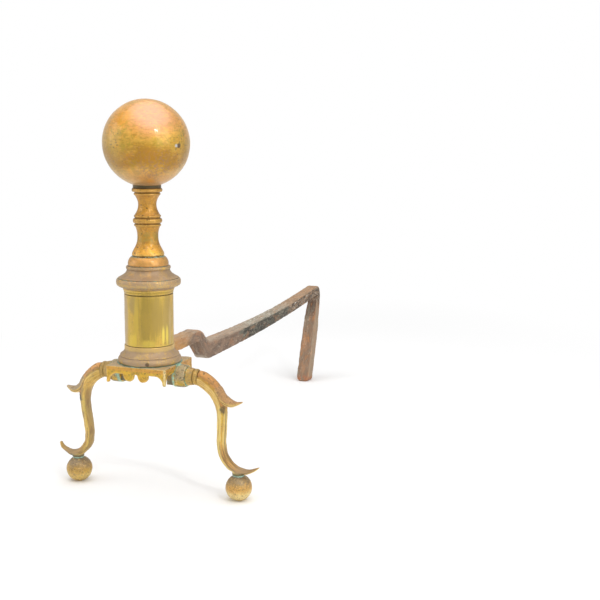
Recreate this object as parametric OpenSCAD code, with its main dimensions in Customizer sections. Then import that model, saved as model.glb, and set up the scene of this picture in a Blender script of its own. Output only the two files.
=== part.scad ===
// Ball-top andiron: a turned brass column on a scalloped plinth with two
// spurred legs, drawn tight on a wrought-iron billet bar by one iron rod.
// Millimetres. +Z is up, +Y runs back along the bar, and the legs spread along X.
// The origin is on the floor, at the middle of the space that the andiron takes up.

/* [Ball] */
// Diameter of the ball
ball_d = 81; // [70:0.5:95]
// Wall of the hollow ball
ball_wall = 3; // [2:0.5:5]
// Diameter of the neck under the ball
ball_neck_d = 26.4; // [24:0.2:28]
// Height of the neck under the ball
ball_neck_h = 3.2; // [2:0.2:5]
// Depth of the threaded socket that takes the rod
socket_depth = 16; // [10:1:24]
// Wall round the threaded socket
socket_wall = 4; // [3:0.5:6]

/* [Shaft] */
// Diameter of the ring at the top of the shaft
top_ring_d = 28.6; // [26:0.2:31]
// Height of the ring at the top of the shaft
top_ring_h = 3.6; // [3:0.2:6]
// Thinnest diameter of the upper neck
upper_neck_d = 17; // [15:0.2:20]
// Length of the upper neck
upper_neck_h = 18.6; // [16:0.2:26]
// Diameter of the ring between the necks
middle_ring_d = 27.4; // [25:0.2:30]
// Height of the ring between the necks
middle_ring_h = 4.4; // [3:0.2:6]
// Thinnest diameter of the lower neck
lower_neck_d = 19.5; // [17:0.5:22]
// Length of the lower neck and its bell
lower_neck_h = 27.4; // [24:0.2:36]
// Diameter at the mouth of the lower neck's bell
bell_d = 30.6; // [28:0.2:33]
// Diameter of the shaft's foot
shaft_foot_d = 38.4; // [36:0.2:40]
// Height of the shaft's foot
shaft_foot_h = 9; // [7:0.5:12]

/* [Cap] */
// Diameter of the lip at the top of the cap
cap_lip_d = 42; // [40.5:0.5:46]
// Diameter of the cap's rim
cap_rim_d = 61; // [56:0.5:68]
// Height of the hollow moulding between the lip and the rim
cap_cove_h = 8.6; // [6:0.2:12]
// Height of the rim
cap_rim_h = 6.6; // [5:0.2:9]
// Height of the cap's hollow underside
cap_under_h = 2.8; // [2.2:0.2:5]

/* [Drum] */
// Outer diameter of the drum
drum_d = 46.3; // [42:0.5:50]
// Height of the drum
drum_h = 54; // [40:0.5:80]
// Wall of the drum
drum_wall = 2.6; // [2:0.2:4]
// Height of the flared collar above the drum's groove
drum_collar_h = 4.4; // [3:0.2:8]

/* [Base moulding] */
// Diameter of the base moulding's large round
base_d = 60.4; // [56:0.5:64]
// Brass left over the notch for the bar
base_bridge = 4.4; // [3:0.2:6]
// Wall of the base moulding at its top
base_wall = 6; // [4.5:0.5:7]

/* [Plinth] */
// Width of the square plinth
plinth_w = 61; // [58:0.5:70]
// Depth of the plinth, from its top to the tips of its corners
plinth_h = 16.2; // [14:0.2:22]
// Thickness of the plinth's top plate
plinth_top_t = 3; // [2:0.5:4]
// Wall of the aprons
apron_wall = 3; // [2:0.5:4]
// Distance from the plinth's top to the highest point of an apron's arches
arch_drop = 7.2; // [6.4:0.2:9]
// Radius of the two lobes in the middle of an apron
lobe_r = 5.5; // [4.5:0.1:6.5]

/* [Legs] */
// Distance from the plinth's side out to the middle of the foot
leg_reach = 56.5; // [45:0.5:75]
// Fall from the axis of the tenon to the ankle
leg_fall = 95.7; // [80:0.5:120]
// Lean of the legs, back from upright, in degrees
leg_lean = 6; // [0:0.5:8]
// Diameter of the large collar that seats on the plinth
boss_d = 22; // [20:0.5:24]
// Length of the large collar
boss_l = 9.4; // [7:0.2:12]
// Diameter of the small collar
collar_d = 18; // [17:0.2:20]
// Length of the small collar
collar_l = 6.2; // [4:0.2:9]
// Thickness of the leg at the top of its arch
arch_t = 16; // [13:0.5:18]
// Width of the leg at the top of its arch
arch_w = 15; // [12:0.5:17]
// Thickness of the shank
shank_t = 8.2; // [7:0.2:12]
// Width of the shank
shank_w = 10.8; // [9:0.2:14]
// Length of the knee spur, past the face of the shank
spur_l = 17.5; // [12:0.5:22]
// Diameter of the leg's tenon
tenon_d = 9; // [7:0.5:10]

/* [Feet] */
// Diameter of the ball foot
foot_d = 25.8; // [22:0.2:30]
// Depth of the flat that standing has worn on the foot
foot_wear = 0.4; // [0.2:0.1:1]
// Diameter of the seat between the foot and the leg
ankle_d = 11; // [9:0.5:13]
// Height of the seat above the ball
ankle_h = 0.8; // [0.4:0.2:2]
// Diameter of the spigot that holds the foot
spigot_d = 5; // [4:0.5:6]
// Length of the spigot
spigot_l = 6; // [4:0.5:7]

/* [Billet bar] */
// Width of the bar, from side to side
bar_w = 15; // [12:0.5:18]
// Thickness of the bar at the foot of its step, from top to bottom
heel_t = 19.4; // [17:0.2:22]
// Thickness of the bar where it meets the rear leg
bar_t = 14; // [12:0.5:17]
// Distance from the rod back to where the bar stops growing thinner
taper_end = 370; // [250:5:450]
// Thickness of the bar's tongue, where it passes through the base moulding
tongue_t = 12.5; // [10:0.5:15]
// Diameter of the eye at the end of the tongue
eye_d = 22; // [18:0.5:26]
// Distance from the rod back to the top of the step
step_start = 103; // [85:1:130]
// Length of the step, along the bar
step_run = 24; // [16:1:36]
// Height of the middle of the bar behind the step
bar_z = 118.6; // [112:0.2:124]
// Rise of the bar from the step to the rear leg
bar_rise = 8; // [0:0.5:15]
// Sag of the bar between the step and the rear leg
bar_sag = 5.2; // [0:0.2:8]
// Distance from the rod back to the rear foot
rear_reach = 489; // [470:1:560]
// Lean of the rear leg, in degrees
rear_lean = 21.5; // [0:0.5:24]
// Thickness of the rear leg where it is spread, across its lean
rear_leg_t = 18.6; // [14:0.2:21]
// Width of the rear leg where it is spread, from side to side
rear_leg_w = 18.4; // [15:0.2:21]
// Radius on the inside of the bends
bend_r = 1.5; // [0.5:0.5:5]

/* [Rod and nuts] */
// Diameter of the iron rod
rod_d = 8; // [6:0.5:9]
// Diameter of the collar forged on the rod, above the bar's eye
rod_collar_d = 18; // [14:0.5:20]
// Thickness of the collar
rod_collar_t = 4; // [3:0.5:6]
// Width of the square nut on the rod
rod_nut_w = 15; // [13:0.5:17]
// Width of the square nut on a leg's tenon
leg_nut_w = 15; // [13:0.5:15.5]
// Thickness of the nuts
nut_t = 6.5; // [5:0.5:8]
// Length of rod or tenon that stands past its nut
thread_past = 2; // [1:0.5:3]
// Diameter of the washer under the plinth
washer_d = 22; // [20:0.5:26]
// Thickness of the washer
washer_t = 1.5; // [1:0.5:3]

/* [Fits] */
// Clearance all round where a rod, tenon or spigot passes through brass
pass_gap = 0.3; // [0.1:0.1:0.5]
// Clearance all round in a thread
thread_gap = 0.05; // [0.02:0.01:0.1]
// Clearance all round the bar's tongue in its notch
notch_gap = 0.4; // [0.2:0.1:0.8]

/* [Hidden] */
$fn = 96;

brass_gold = [0.80, 0.62, 0.30];
brass_orange = [0.80, 0.53, 0.25];
brass_dull = [0.66, 0.52, 0.40];
verdigris = [0.42, 0.52, 0.45];
iron_brown = [0.45, 0.35, 0.29];

// Turning that is alike on every piece: grooves, lips, worn edges, and the hair's
// breadth that parts two neighbouring curves
groove_w = 1;
groove_t = 0.7;
lip_h = 2;
lip_round = 0.5;
edge_wear = 0.5;
nick = 0.1;
arc_steps = 8;

// Rounds of the shaft's rings, how far its lips stand in from them, and where each
// neck is thinnest, as a share of its length from below
ring_round = 1.2;
top_lip_in = 1.9;
middle_lip_in = 1.1;
upper_thin_share = 0.53;
lower_thin_share = 0.68;
// The shaft's foot: its round, the level where it is widest, and where it ends
foot_round = 10;
foot_widest_h = 2;
foot_turn = 47.8;

// Cap: its lip, the round of its rim, and the step and hollow of its underside
cap_lip_h = 3.2;
cap_lip_round = 0.8;
rim_round = 1.4;
under_in = 2.4;
under_band_h = 0.5;
under_step_h = 0.7;

// Drum and base: how far the collars stand out, and the registers that centre them
collar_out = 0.6;
flare_out = 1.2;
flare_edge_h = 0.8;
register_h = 3;
register_gap = 0.15;
register_t = 2.6;

// Base moulding, for the height it is drawn at: its large round, the narrow band
// over it, the lip over that, and the end of its hollow
base_drawn_h = 17.3;
base_round = 3.6;
base_round_z = 2.6;
base_round_h = 4.2;
base_band_in = 2.6;
base_band_z = 6.4;
base_lip_in = 1.9;
base_lip_z = 7.1;
base_lip_h = 0.8;
base_hollow_end = 13.4;

// Aprons: the tips at their corners, the arches beside them, and the middle cusp
tip_w = 2.8;
tip_h = 1.6;
arch_side_w = 8.4;
lobe_rise = 2;
cusp_r = 1.8;

// Roots of the legs: grooves, ring, neck, and how far the collars draw in
root_groove_w = 0.5;
root_ring_w = 3.4;
root_ring_round = 0.6;
root_neck_w = 0.9;
root_taper = 1.2;
boss_flat_share = 0.4;
// The pad under the toe that the foot's seat meets
pad_out = 0.5;
pad_share = 0.5;

// How far a cutter runs past what it cuts
past = 1;

// Levels and places, worked out from the floor up
foot_r = foot_d / 2;
foot_z = foot_r - foot_wear;
leg_length = leg_fall + ankle_h + foot_r;
ring_start = boss_l + collar_l + 2 * root_groove_w;
root_end = ring_start + root_ring_w + root_neck_w;
tenon_z = foot_z + leg_length * cos(leg_lean);
boss_margin = 0.8;
plinth_top = tenon_z + boss_d / 2 + boss_margin;
plinth_under = plinth_top - plinth_top_t;
base_h = tongue_t + notch_gap + base_bridge;
base_top = plinth_top + base_h;
drum_top = base_top + drum_h;
cap_top = drum_top + cap_under_h + cap_rim_h + cap_cove_h + cap_lip_h;
shaft_h = shaft_foot_h + lower_neck_h + middle_ring_h + upper_neck_h
    + top_ring_h + 3 * lip_h + 4 * groove_w;
shaft_top = cap_top + shaft_h;
ball_z = shaft_top + ball_neck_h + sqrt(pow(ball_d / 2, 2) - pow(ball_neck_d / 2, 2));
rod_top = shaft_top + socket_depth - 1;
rod_bottom = plinth_under - washer_t - nut_t - thread_past;
tongue_z = plinth_top + tongue_t / 2;
drum_r = drum_d / 2;
drum_bore_r = drum_r - drum_wall;
register_r = drum_bore_r - register_gap;
collar_r = drum_r + collar_out;
flare_r = drum_r + flare_out;

// ---- outlines ----

// Part of an ellipse about centre, from angle a0 to angle a1
function arc(centre, rx, ry, a0, a1, steps = arc_steps) = [
    for (i = [0 : steps])
        let (a = a0 + (a1 - a0) * i / steps)
        [centre[0] + rx * cos(a), centre[1] + ry * sin(a)]
];

// A round that stands out by bulge between two levels, as [radius, height]
function bead(r, bulge, z0, z1) =
    arc([r, (z0 + z1) / 2], bulge, (z1 - z0) / 2, -90, 90);

// A parabola from radius r0 that runs level with the axis where it ends, at r1
function hollow(r0, z0, r1, z1, steps = arc_steps) = [
    for (i = [0 : steps])
        let (t = i / steps)
        [r1 + (r0 - r1) * pow(1 - t, 2), z0 + (z1 - z0) * t]
];

// An S-curve from radius r0 to r1, which turns late for a bell
function bell(r0, z0, r1, z1, lateness = 1.5, steps = 12) = [
    for (i = [0 : steps])
        let (s = pow(i / steps, lateness))
        [r0 + (r1 - r0) * s * s * (3 - 2 * s), z0 + (z1 - z0) * i / steps]
];

function reversed(points) = [for (i = [len(points) - 1 : -1 : 0]) points[i]];

// A groove cut square into radius r, from z0 upwards
function groove(r, z0) = [[r - groove_t, z0], [r - groove_t, z0 + groove_w]];

// Solid of revolution about Z, from an outline that runs upwards, with a round bore
module turned(outline, bore_r) {
    low = outline[0][1];
    high = outline[len(outline) - 1][1];
    rotate_extrude()
        polygon(concat([[bore_r, low]], outline, [[bore_r, high]]));
}

// ---- curves and sweeps ----

// A smooth curve through p1 and p2, led by the points before and after them
function spline_point(p0, p1, p2, p3, t) =
    p1 + (p2 - p0) * t / 2
    + (2 * p0 - 5 * p1 + 4 * p2 - p3) * t * t / 2
    + (3 * p1 - p0 - 3 * p2 + p3) * t * t * t / 2;

function spline(points, steps) =
    let (last = len(points) - 1)
    concat(
        [
            for (i = [0 : last - 1])
                for (j = [0 : steps - 1])
                    spline_point(
                        points[max(i - 1, 0)], points[i], points[i + 1],
                        points[min(i + 2, last)], j / steps
                    )
        ],
        [points[last]]
    );

function unit(v) = v / norm(v);

// Direction of a curve at one of its points
function heading(points, i) =
    let (
        a = points[max(i - 1, 0)],
        b = points[min(i + 1, len(points) - 1)]
    )
    unit([b[0] - a[0], b[1] - a[1]]);

// Cross-section of a leg for half its thickness and half its width: a crowned
// outer face, a ridge down the front and the back, and a flat inner face
leg_section = [
    [1, 0], [0.8, 0.62], [0.12, 1], [-0.72, 0.72], [-1, 0.3],
    [-1, -0.3], [-0.72, -0.72], [0.12, -1], [0.8, -0.62]
];

// Carries the leg's section along a spine of [out, up, thickness, width] points
module leg_sweep(spine) {
    sides = len(leg_section);
    rings = len(spine);
    points = [
        for (i = [0 : rings - 1])
            let (h = heading(spine, i), s = spine[i])
            for (c = leg_section)
                let (a = c[0] * s[2] / 2, b = c[1] * s[3] / 2)
                [s[0] - h[1] * a, b, s[1] + h[0] * a]
    ];
    walls = [
        for (i = [0 : rings - 2])
            for (j = [0 : sides - 1])
                let (
                    k = (j + 1) % sides,
                    a = i * sides + j,
                    b = i * sides + k,
                    c = a + sides,
                    d = b + sides
                )
                for (face = [[a, b, c], [b, d, c]]) face
    ];
    start = [for (j = [sides - 1 : -1 : 0]) j];
    end = [for (j = [0 : sides - 1]) (rings - 1) * sides + j];
    polyhedron(points, concat(walls, [start, end]), convexity = 6);
}

// ---- column ----

module ball() {
    inner_r = ball_d / 2 - ball_wall;
    socket_r = rod_d / 2 + socket_wall;
    color(brass_orange)
    at_column() difference() {
        union() {
            difference() {
                union() {
                    translate([0, 0, ball_z])
                        sphere(d = ball_d);
                    translate([0, 0, shaft_top])
                        cylinder(d = ball_neck_d, h = ball_neck_h + ball_wall);
                }
                translate([0, 0, ball_z])
                    sphere(r = inner_r);
            }
            translate([0, 0, shaft_top])
                cylinder(r = socket_r, h = socket_depth + socket_wall);
        }
        translate([0, 0, shaft_top - past])
            cylinder(d = rod_d + 2 * thread_gap, h = socket_depth + past);
    }
}

// Outline of the shaft, upwards from the cap
function shaft_outline() =
    let (
        foot_r = shaft_foot_d / 2,
        bell_r = bell_d / 2,
        middle_r = middle_ring_d / 2,
        top_r = top_ring_d / 2,
        lip_r = middle_r - middle_lip_in,
        top_lip_r = top_r - top_lip_in,
        foot_end = cap_top + shaft_foot_h,
        bell_start = foot_end + groove_w,
        lower_end = bell_start + lower_neck_h,
        lower_thin = bell_start + lower_thin_share * lower_neck_h,
        middle_start = lower_end + lip_h + groove_w,
        middle_end = middle_start + middle_ring_h,
        upper_start = middle_end + groove_w + lip_h,
        upper_end = upper_start + upper_neck_h,
        upper_thin = upper_start + upper_thin_share * upper_neck_h,
        top_start = upper_end + lip_h + groove_w
    )
    concat(
        [[foot_r - edge_wear, cap_top]],
        arc(
            [foot_r - foot_round, cap_top + foot_widest_h],
            foot_round, (shaft_foot_h - foot_widest_h) / sin(foot_turn), -4, foot_turn
        ),
        groove(bell_r + 2 * nick, foot_end),
        reversed(bell(lower_neck_d / 2, lower_thin, bell_r, bell_start + 4 * nick)),
        reversed(hollow(lip_r - groove_t, lower_end, lower_neck_d / 2, lower_thin + nick)),
        bead(lip_r - lip_round, lip_round, lower_end + nick, lower_end + lip_h),
        groove(lip_r, middle_start - groove_w),
        bead(middle_r - ring_round, ring_round, middle_start, middle_end),
        groove(lip_r, middle_end),
        bead(lip_r - lip_round, lip_round, upper_start - lip_h, upper_start),
        hollow(lip_r - groove_t, upper_start + nick, upper_neck_d / 2, upper_thin),
        reversed(hollow(top_lip_r - groove_t, upper_end, upper_neck_d / 2, upper_thin + nick)),
        bead(top_lip_r - lip_round, lip_round, upper_end + nick, upper_end + lip_h),
        groove(top_lip_r, top_start - groove_w),
        bead(top_r - ring_round, ring_round, top_start, shaft_top)
    );

module shaft() {
    color(brass_orange)
    at_column()
        turned(shaft_outline(), rod_d / 2 + pass_gap);
}

// Outline of the cap, upwards from the register that centres it in the drum
function cap_outline() =
    let (
        rim_r = cap_rim_d / 2,
        lip_r = cap_lip_d / 2,
        edge_r = rim_r - under_in,
        under_start = drum_top + under_band_h,
        rim_start = drum_top + cap_under_h,
        under_end = rim_start - under_step_h,
        rim_end = rim_start + cap_rim_h,
        cove_end = rim_end + cap_cove_h
    )
    concat(
        [[register_r, drum_top - register_h], [register_r, drum_top]],
        [[flare_r, drum_top], [flare_r, under_start]],
        arc([edge_r, under_start], edge_r - flare_r, under_end - under_start, 180, 90),
        [[edge_r + 2 * nick, under_end], [edge_r + 2 * nick, rim_start]],
        bead(rim_r - rim_round, rim_round, rim_start + nick, rim_end),
        hollow(rim_r - rim_round - 2 * nick, rim_end + 2 * nick, lip_r - groove_t, cove_end),
        bead(lip_r - cap_lip_round, cap_lip_round, cove_end + nick, cap_top)
    );

module cap() {
    hollow_r = register_r - register_t;
    hollow_h = register_h + cap_under_h + cap_rim_h;
    color(brass_dull)
    at_column() difference() {
        turned(cap_outline(), rod_d / 2 + pass_gap);
        translate([0, 0, drum_top - register_h - past])
            cylinder(r = hollow_r, h = hollow_h + past);
    }
}

// Outline of the drum, with a soft lower edge and a groove under its flared collar
function drum_outline() =
    let (
        collar_start = drum_top - drum_collar_h,
        flare_end = drum_top - flare_edge_h
    )
    concat(
        [[drum_r - edge_wear, base_top], [drum_r, base_top + edge_wear]],
        [[drum_r, collar_start - groove_w]],
        groove(drum_r, collar_start - groove_w),
        reversed(hollow(flare_r - nick, flare_end, drum_r + nick, collar_start)),
        [[flare_r - nick, drum_top - 2 * nick], [flare_r - 4 * nick, drum_top]]
    );

module drum() {
    color(brass_gold)
    at_column()
        turned(drum_outline(), drum_bore_r);
}

// Outline of the base moulding, upwards from the plinth
function base_outline() =
    let (
        r = base_d / 2,
        step = base_h / base_drawn_h,
        round_z = plinth_top + base_round_z * step,
        band_z = plinth_top + base_band_z * step,
        lip_z = plinth_top + base_lip_z * step,
        lip_end = lip_z + base_lip_h * step,
        hollow_end = plinth_top + base_hollow_end * step
    )
    concat(
        arc(
            [r - base_round, round_z], base_round, base_round_h * step,
            -asin(base_round_z / base_round_h), 60
        ),
        [[r - base_band_in, band_z], [r - base_band_in, lip_z - nick]],
        [[r - base_lip_in, lip_z], [r - base_lip_in, lip_end]],
        hollow(r - base_lip_in - 3 * nick, lip_end + nick, collar_r, hollow_end),
        [[collar_r, base_top - 3 * nick], [collar_r - 3 * nick, base_top]],
        [[register_r, base_top], [register_r, base_top + register_h]]
    );

module base_moulding() {
    notch_w = bar_w + 2 * notch_gap;
    notch_h = tongue_t + notch_gap;
    color(brass_dull)
    at_column() difference() {
        turned(base_outline(), collar_r - base_wall);
        translate([-notch_w / 2, 0, plinth_top - past])
            cube([notch_w, base_d, notch_h + past]);
    }
}

// ---- plinth ----

// Outline of a front or back apron, hanging from the line y = 0: two lobes that
// part in a small round cusp, with an arch and a corner tip on either side
module front_apron() {
    lobe_x = lobe_r + cusp_r;
    lobe_y = lobe_r + lobe_rise - plinth_h;
    translate([-plinth_w / 2, -arch_drop])
        square([plinth_w, arch_drop]);
    difference() {
        translate([-lobe_x - lobe_r, lobe_y])
            square([2 * (lobe_x + lobe_r), -lobe_y]);
        translate([0, lobe_y])
            circle(r = cusp_r);
    }
    for (side = [-1, 1]) {
        translate([side * lobe_x, lobe_y])
            circle(r = lobe_r);
        apron_tip(side);
    }
}

// Outline of a side apron, whose middle is a round pad for the leg's collar
module side_apron() {
    translate([-plinth_w / 2, -arch_drop])
        square([plinth_w, arch_drop]);
    translate([0, tenon_z - plinth_top])
        circle(d = boss_d);
    for (side = [-1, 1])
        apron_tip(side);
}

// The tip at one end of an apron: rounded below, and curved into its arch
module apron_tip(side) {
    tip_x = plinth_w / 2 - tip_w / 2;
    tip_y = tip_h - plinth_h;
    arch_x = plinth_w / 2 - tip_w - arch_side_w;
    outline = concat(
        [[plinth_w / 2, 0]],
        arc([tip_x, tip_y], tip_w / 2, tip_h, 0, -180),
        arc([arch_x, tip_y], arch_side_w, -arch_drop - tip_y, 0, 90),
        [[arch_x, 0]]
    );
    mirror([side < 0 ? 1 : 0, 0])
        polygon(outline);
}

module plinth() {
    panel_at = (plinth_w - apron_wall) / 2;
    color(brass_gold)
    at_column() difference() {
        union() {
            translate([-plinth_w / 2, -plinth_w / 2, plinth_under])
                cube([plinth_w, plinth_w, plinth_top_t]);
            for (side = [-1, 1]) {
                translate([0, side * panel_at, plinth_top])
                    rotate([90, 0, 0])
                        linear_extrude(apron_wall, center = true)
                            front_apron();
                translate([side * panel_at, 0, plinth_top])
                    rotate([90, 0, 90])
                        linear_extrude(apron_wall, center = true)
                            side_apron();
            }
        }
        translate([0, 0, plinth_under - past])
            cylinder(d = rod_d + 2 * pass_gap, h = plinth_top_t + 2 * past);
        translate([0, 0, tenon_z])
            rotate([0, 90, 0])
                cylinder(d = tenon_d + 2 * pass_gap, h = plinth_w + 2 * past, center = true);
    }
}

// ---- legs and feet ----

// Puts a leg's own frame in place: +X runs out from the plinth's side along the
// tenon, and the leg leans back about that axis. side is -1 left and 1 right.
module leg_frame(side) {
    at_column()
        mirror([side < 0 ? 1 : 0, 0, 0])
            translate([plinth_w / 2, 0, tenon_z])
                rotate([leg_lean, 0, 0])
                    children();
}

// Places on the leg: out as a share of the way from its root to the middle of the
// foot, and down as a share of its fall
function leg_place(out, down) =
    [root_end + out * (leg_reach - root_end), -down * leg_fall];

// Spine of the leg, from its root over the arch and down the shank to the ankle,
// and on to the tip of the toe spur
leg_spine = [
    for (s = [
        [leg_place(-0.01, 0.009), [arch_t * 0.92, arch_w * 0.93]],
        [leg_place(0.127, 0.023), [arch_t * 0.96, arch_w * 0.98]],
        [leg_place(0.413, 0.11), [arch_t * 0.91, arch_w * 0.97]],
        [leg_place(0.567, 0.22), [arch_t * 0.79, arch_w * 0.9]],
        [leg_place(0.614, 0.345), [shank_t * 1.2, shank_w * 1.06]],
        [leg_place(0.59, 0.52), [shank_t * 1.08, shank_w]],
        [leg_place(0.56, 0.68), [shank_t, shank_w * 0.98]],
        [leg_place(0.595, 0.8), [shank_t * 0.96, shank_w * 0.96]],
        [leg_place(0.722, 0.885), [shank_t * 0.92, shank_w * 0.94]],
        [leg_place(0.921, 0.947), [shank_t * 0.86, shank_w * 0.92]],
        [leg_place(1.166, 0.968), [shank_t * 0.68, shank_w * 0.78]],
        [leg_place(1.38, 0.951), [shank_t * 0.44, shank_w * 0.52]],
        [leg_place(1.61, 0.905), [1.4, 1.6]]
    ])
        concat(s[0], s[1])
];

// Spine of the knee spur, which carries on the crown of the arch past the shank
knee = leg_place(0.595, 0.235);
shank_face = knee[0] + shank_t / 2;
spur_start = leg_place(0.505, 0.11);
spur_bend = leg_place(0.635, 0.193);
spur_spine = [
    [spur_start[0], spur_start[1], arch_t * 0.6, arch_w * 0.9],
    [spur_bend[0], spur_bend[1], arch_t * 0.62, arch_w * 0.85],
    [shank_face + 0.08 * spur_l, knee[1] + 0.7, shank_t * 1.08, shank_w * 1.08],
    [shank_face + 0.3 * spur_l, knee[1] - 1, shank_t * 0.9, shank_w * 0.95],
    [shank_face + 0.5 * spur_l, knee[1] - 1.4, shank_t * 0.68, shank_w * 0.76],
    [shank_face + 0.72 * spur_l, knee[1] - 0.8, shank_t * 0.46, shank_w * 0.46],
    [shank_face + spur_l, knee[1] + 1, 1.2, 1.6]
];

// Outline of the leg's root from the plinth outwards: large collar that tapers to
// a small one, ring and short neck, with a groove between each
function root_outline() =
    let (
        boss_r = boss_d / 2,
        small_r = collar_d / 2,
        boss_end_r = small_r + edge_wear,
        boss_round_l = (1 - boss_flat_share) * boss_l,
        collar_start = boss_l + root_groove_w,
        collar_end = ring_start - root_groove_w,
        ring_r = small_r - root_taper,
        neck_r = ring_r - 2 * root_ring_round
    )
    concat(
        [[0, 0], [boss_r - edge_wear, 0], [boss_r, edge_wear]],
        arc(
            [boss_end_r, boss_l - boss_round_l],
            boss_r - boss_end_r, boss_round_l, 0, 90, 6
        ),
        [[small_r - groove_t, boss_l], [small_r - groove_t, collar_start]],
        [[small_r, collar_start + nick]],
        [[small_r - root_taper, collar_end - nick]],
        [[ring_r - groove_t, collar_end], [ring_r - groove_t, ring_start]],
        bead(
            ring_r - root_ring_round, root_ring_round,
            ring_start + nick, ring_start + root_ring_w
        ),
        [[neck_r, ring_start + root_ring_w + nick], [neck_r, root_end], [0, root_end]]
    );

module leg(side) {
    tenon_l = apron_wall + nut_t + thread_past;
    color(brass_gold)
    leg_frame(side)
        difference() {
            union() {
                translate([-tenon_l, 0, 0])
                    rotate([0, 90, 0])
                        cylinder(d = tenon_d, h = tenon_l + past);
                rotate([0, 90, 0])
                    rotate_extrude()
                        polygon(root_outline());
                leg_sweep(spline(leg_spine, 4));
                leg_sweep(spline(spur_spine, 4));
                translate([leg_reach, 0, -leg_fall])
                    cylinder(d = ankle_d + 2 * pad_out, h = shank_t * pad_share);
            }
            translate([leg_reach, 0, -leg_fall - past])
                cylinder(d = spigot_d + 2 * thread_gap, h = spigot_l + past + pass_gap);
        }
}

module left_leg() leg(-1);

module right_leg() leg(1);

// Ball foot with its ankle seat and spigot, and the flat that standing has worn
module foot(side) {
    color(brass_gold)
    difference() {
        leg_frame(side)
            translate([leg_reach, 0, -leg_length]) {
                sphere(d = foot_d);
                cylinder(d = ankle_d, h = foot_r + ankle_h);
                cylinder(d = spigot_d, h = foot_r + ankle_h + spigot_l);
            }
        at_column()
            translate([side * (plinth_w / 2 + leg_reach), 0, -foot_d / 2])
                cube([2 * foot_d, 4 * foot_d, foot_d], center = true);
    }
}

module left_foot() foot(-1);

module right_foot() foot(1);

// Square nut with a round hole, standing on the XY plane
module square_nut(width, hole_d) {
    difference() {
        translate([-width / 2, -width / 2, 0])
            cube([width, width, nut_t]);
        translate([0, 0, -past])
            cylinder(d = hole_d, h = nut_t + 2 * past);
    }
}

module leg_nut(side) {
    color(verdigris)
    leg_frame(side)
        translate([-apron_wall - nut_t, 0, 0])
            rotate([0, 90, 0])
                square_nut(leg_nut_w, tenon_d + 2 * thread_gap);
}

module left_leg_nut() leg_nut(-1);

module right_leg_nut() leg_nut(1);

// ---- billet bar ----

// Direction v turned by an angle
function swung(v, a) = [v[0] * cos(a) - v[1] * sin(a), v[0] * sin(a) + v[1] * cos(a)];

// An arc that rounds the corner at b, on the way from a to c
function round_corner(a, b, c, radius, steps = 6) =
    let (
        u = unit(b - a),
        v = unit(c - b),
        hand = sign(u[0] * v[1] - u[1] * v[0]),
        turn = hand * acos(u * v),
        start = b - u * radius * tan(abs(turn) / 2),
        centre = start + swung(u, 90) * hand * radius
    )
    [
        for (i = [0 : steps])
            centre - swung(u, 90 + turn * i / steps) * hand * radius
    ];

// Middle of the bar from the rod to the rear foot, as [back, up]
rear_bend = [rear_reach + (bar_z + bar_rise) * tan(rear_lean), bar_z + bar_rise];
step_top = [step_start, tongue_z];
step_foot = [step_start + step_run, bar_z];
bend_mid_r = bend_r + heel_t / 2;
rear_mid_r = bend_r + bar_t / 2;
sag_steps = 12;

// The rear leg is spread below one level, and keeps the bar's width above another
spread_z = 0.6 * bar_z;
neck_z = bar_z - heel_t / 2 - 4;
spread_at = [rear_reach + spread_z * tan(rear_lean), spread_z];

// The long back: a straight rise less the sag
function back_point(t) =
    step_foot + (rear_bend - step_foot) * t - [0, bar_sag * sin(180 * t)];

bar_path = concat(
    [[0, tongue_z]],
    round_corner([0, tongue_z], step_top, step_foot, bend_mid_r),
    round_corner(step_top, step_foot, back_point(1 / sag_steps), bend_mid_r),
    [for (i = [1 : sag_steps - 1]) back_point(i / sag_steps)],
    round_corner(back_point(1 - 1 / sag_steps), rear_bend, [rear_reach, 0], rear_mid_r),
    [spread_at, [rear_reach, 0]]
);

// Thickness of the bar at a distance back from the rod: it swells over the step
// and then draws down to the rear bend
function bar_thickness(y) =
    y < step_foot[0]
        ? tongue_t + (heel_t - tongue_t) * max(0, (y - step_start) / step_run)
        : heel_t + (bar_t - heel_t) * min(1, (y - step_foot[0]) / (taper_end - step_foot[0]));

// One side of the bar: side is 1 for its top and rear, and -1 for its underside.
// The last two points belong to the spread of the rear leg.
function bar_edge(side) =
    let (last = len(bar_path) - 1)
    [
        for (i = [0 : last])
            let (
                p = bar_path[i],
                thickness = i < last - 1 ? bar_thickness(p[0]) : rear_leg_t,
                across = i < last
                    ? swung(heading(bar_path, i), 90)
                    : [1 / cos(rear_lean), 0]
            )
            p + side * across * thickness / 2
    ];

bar_outline = concat(bar_edge(1), reversed(bar_edge(-1)));

// The column stands forward of the origin, so that the origin is in the middle
front_y = max(ball_d, plinth_w, base_d, cap_rim_d) / 2;
rear_y = max([for (p = bar_outline) p[0]]);
column_y = (front_y - rear_y) / 2;

module at_column() {
    translate([0, column_y, 0])
        children();
}

// Outline of the bar seen from the front, from the floor up, for its right half
// and its left: the rear leg is wider than the bar
bar_front = [
    for (side = [1, -1])
        let (
            half = side * bar_w / 2,
            spread = side * rear_leg_w / 2,
            right = [[spread, 0], [spread, spread_z], [half, neck_z], [half, plinth_top + eye_d]]
        )
        for (k = [0 : 3])
            right[side > 0 ? k : 3 - k]
];

module billet_bar() {
    color(iron_brown)
    at_column() difference() {
        union() {
            intersection() {
                rotate([90, 0, 90])
                    linear_extrude(rear_leg_w + bar_w, center = true)
                        polygon(bar_outline);
                translate([0, rear_y + past, 0])
                    rotate([90, 0, 0])
                        linear_extrude(rear_y + 2 * past)
                            polygon(bar_front);
            }
            translate([0, 0, plinth_top])
                cylinder(d = eye_d, h = tongue_t);
        }
        translate([0, 0, plinth_top - past])
            cylinder(d = rod_d + 2 * pass_gap, h = tongue_t + 2 * past);
    }
}

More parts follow.
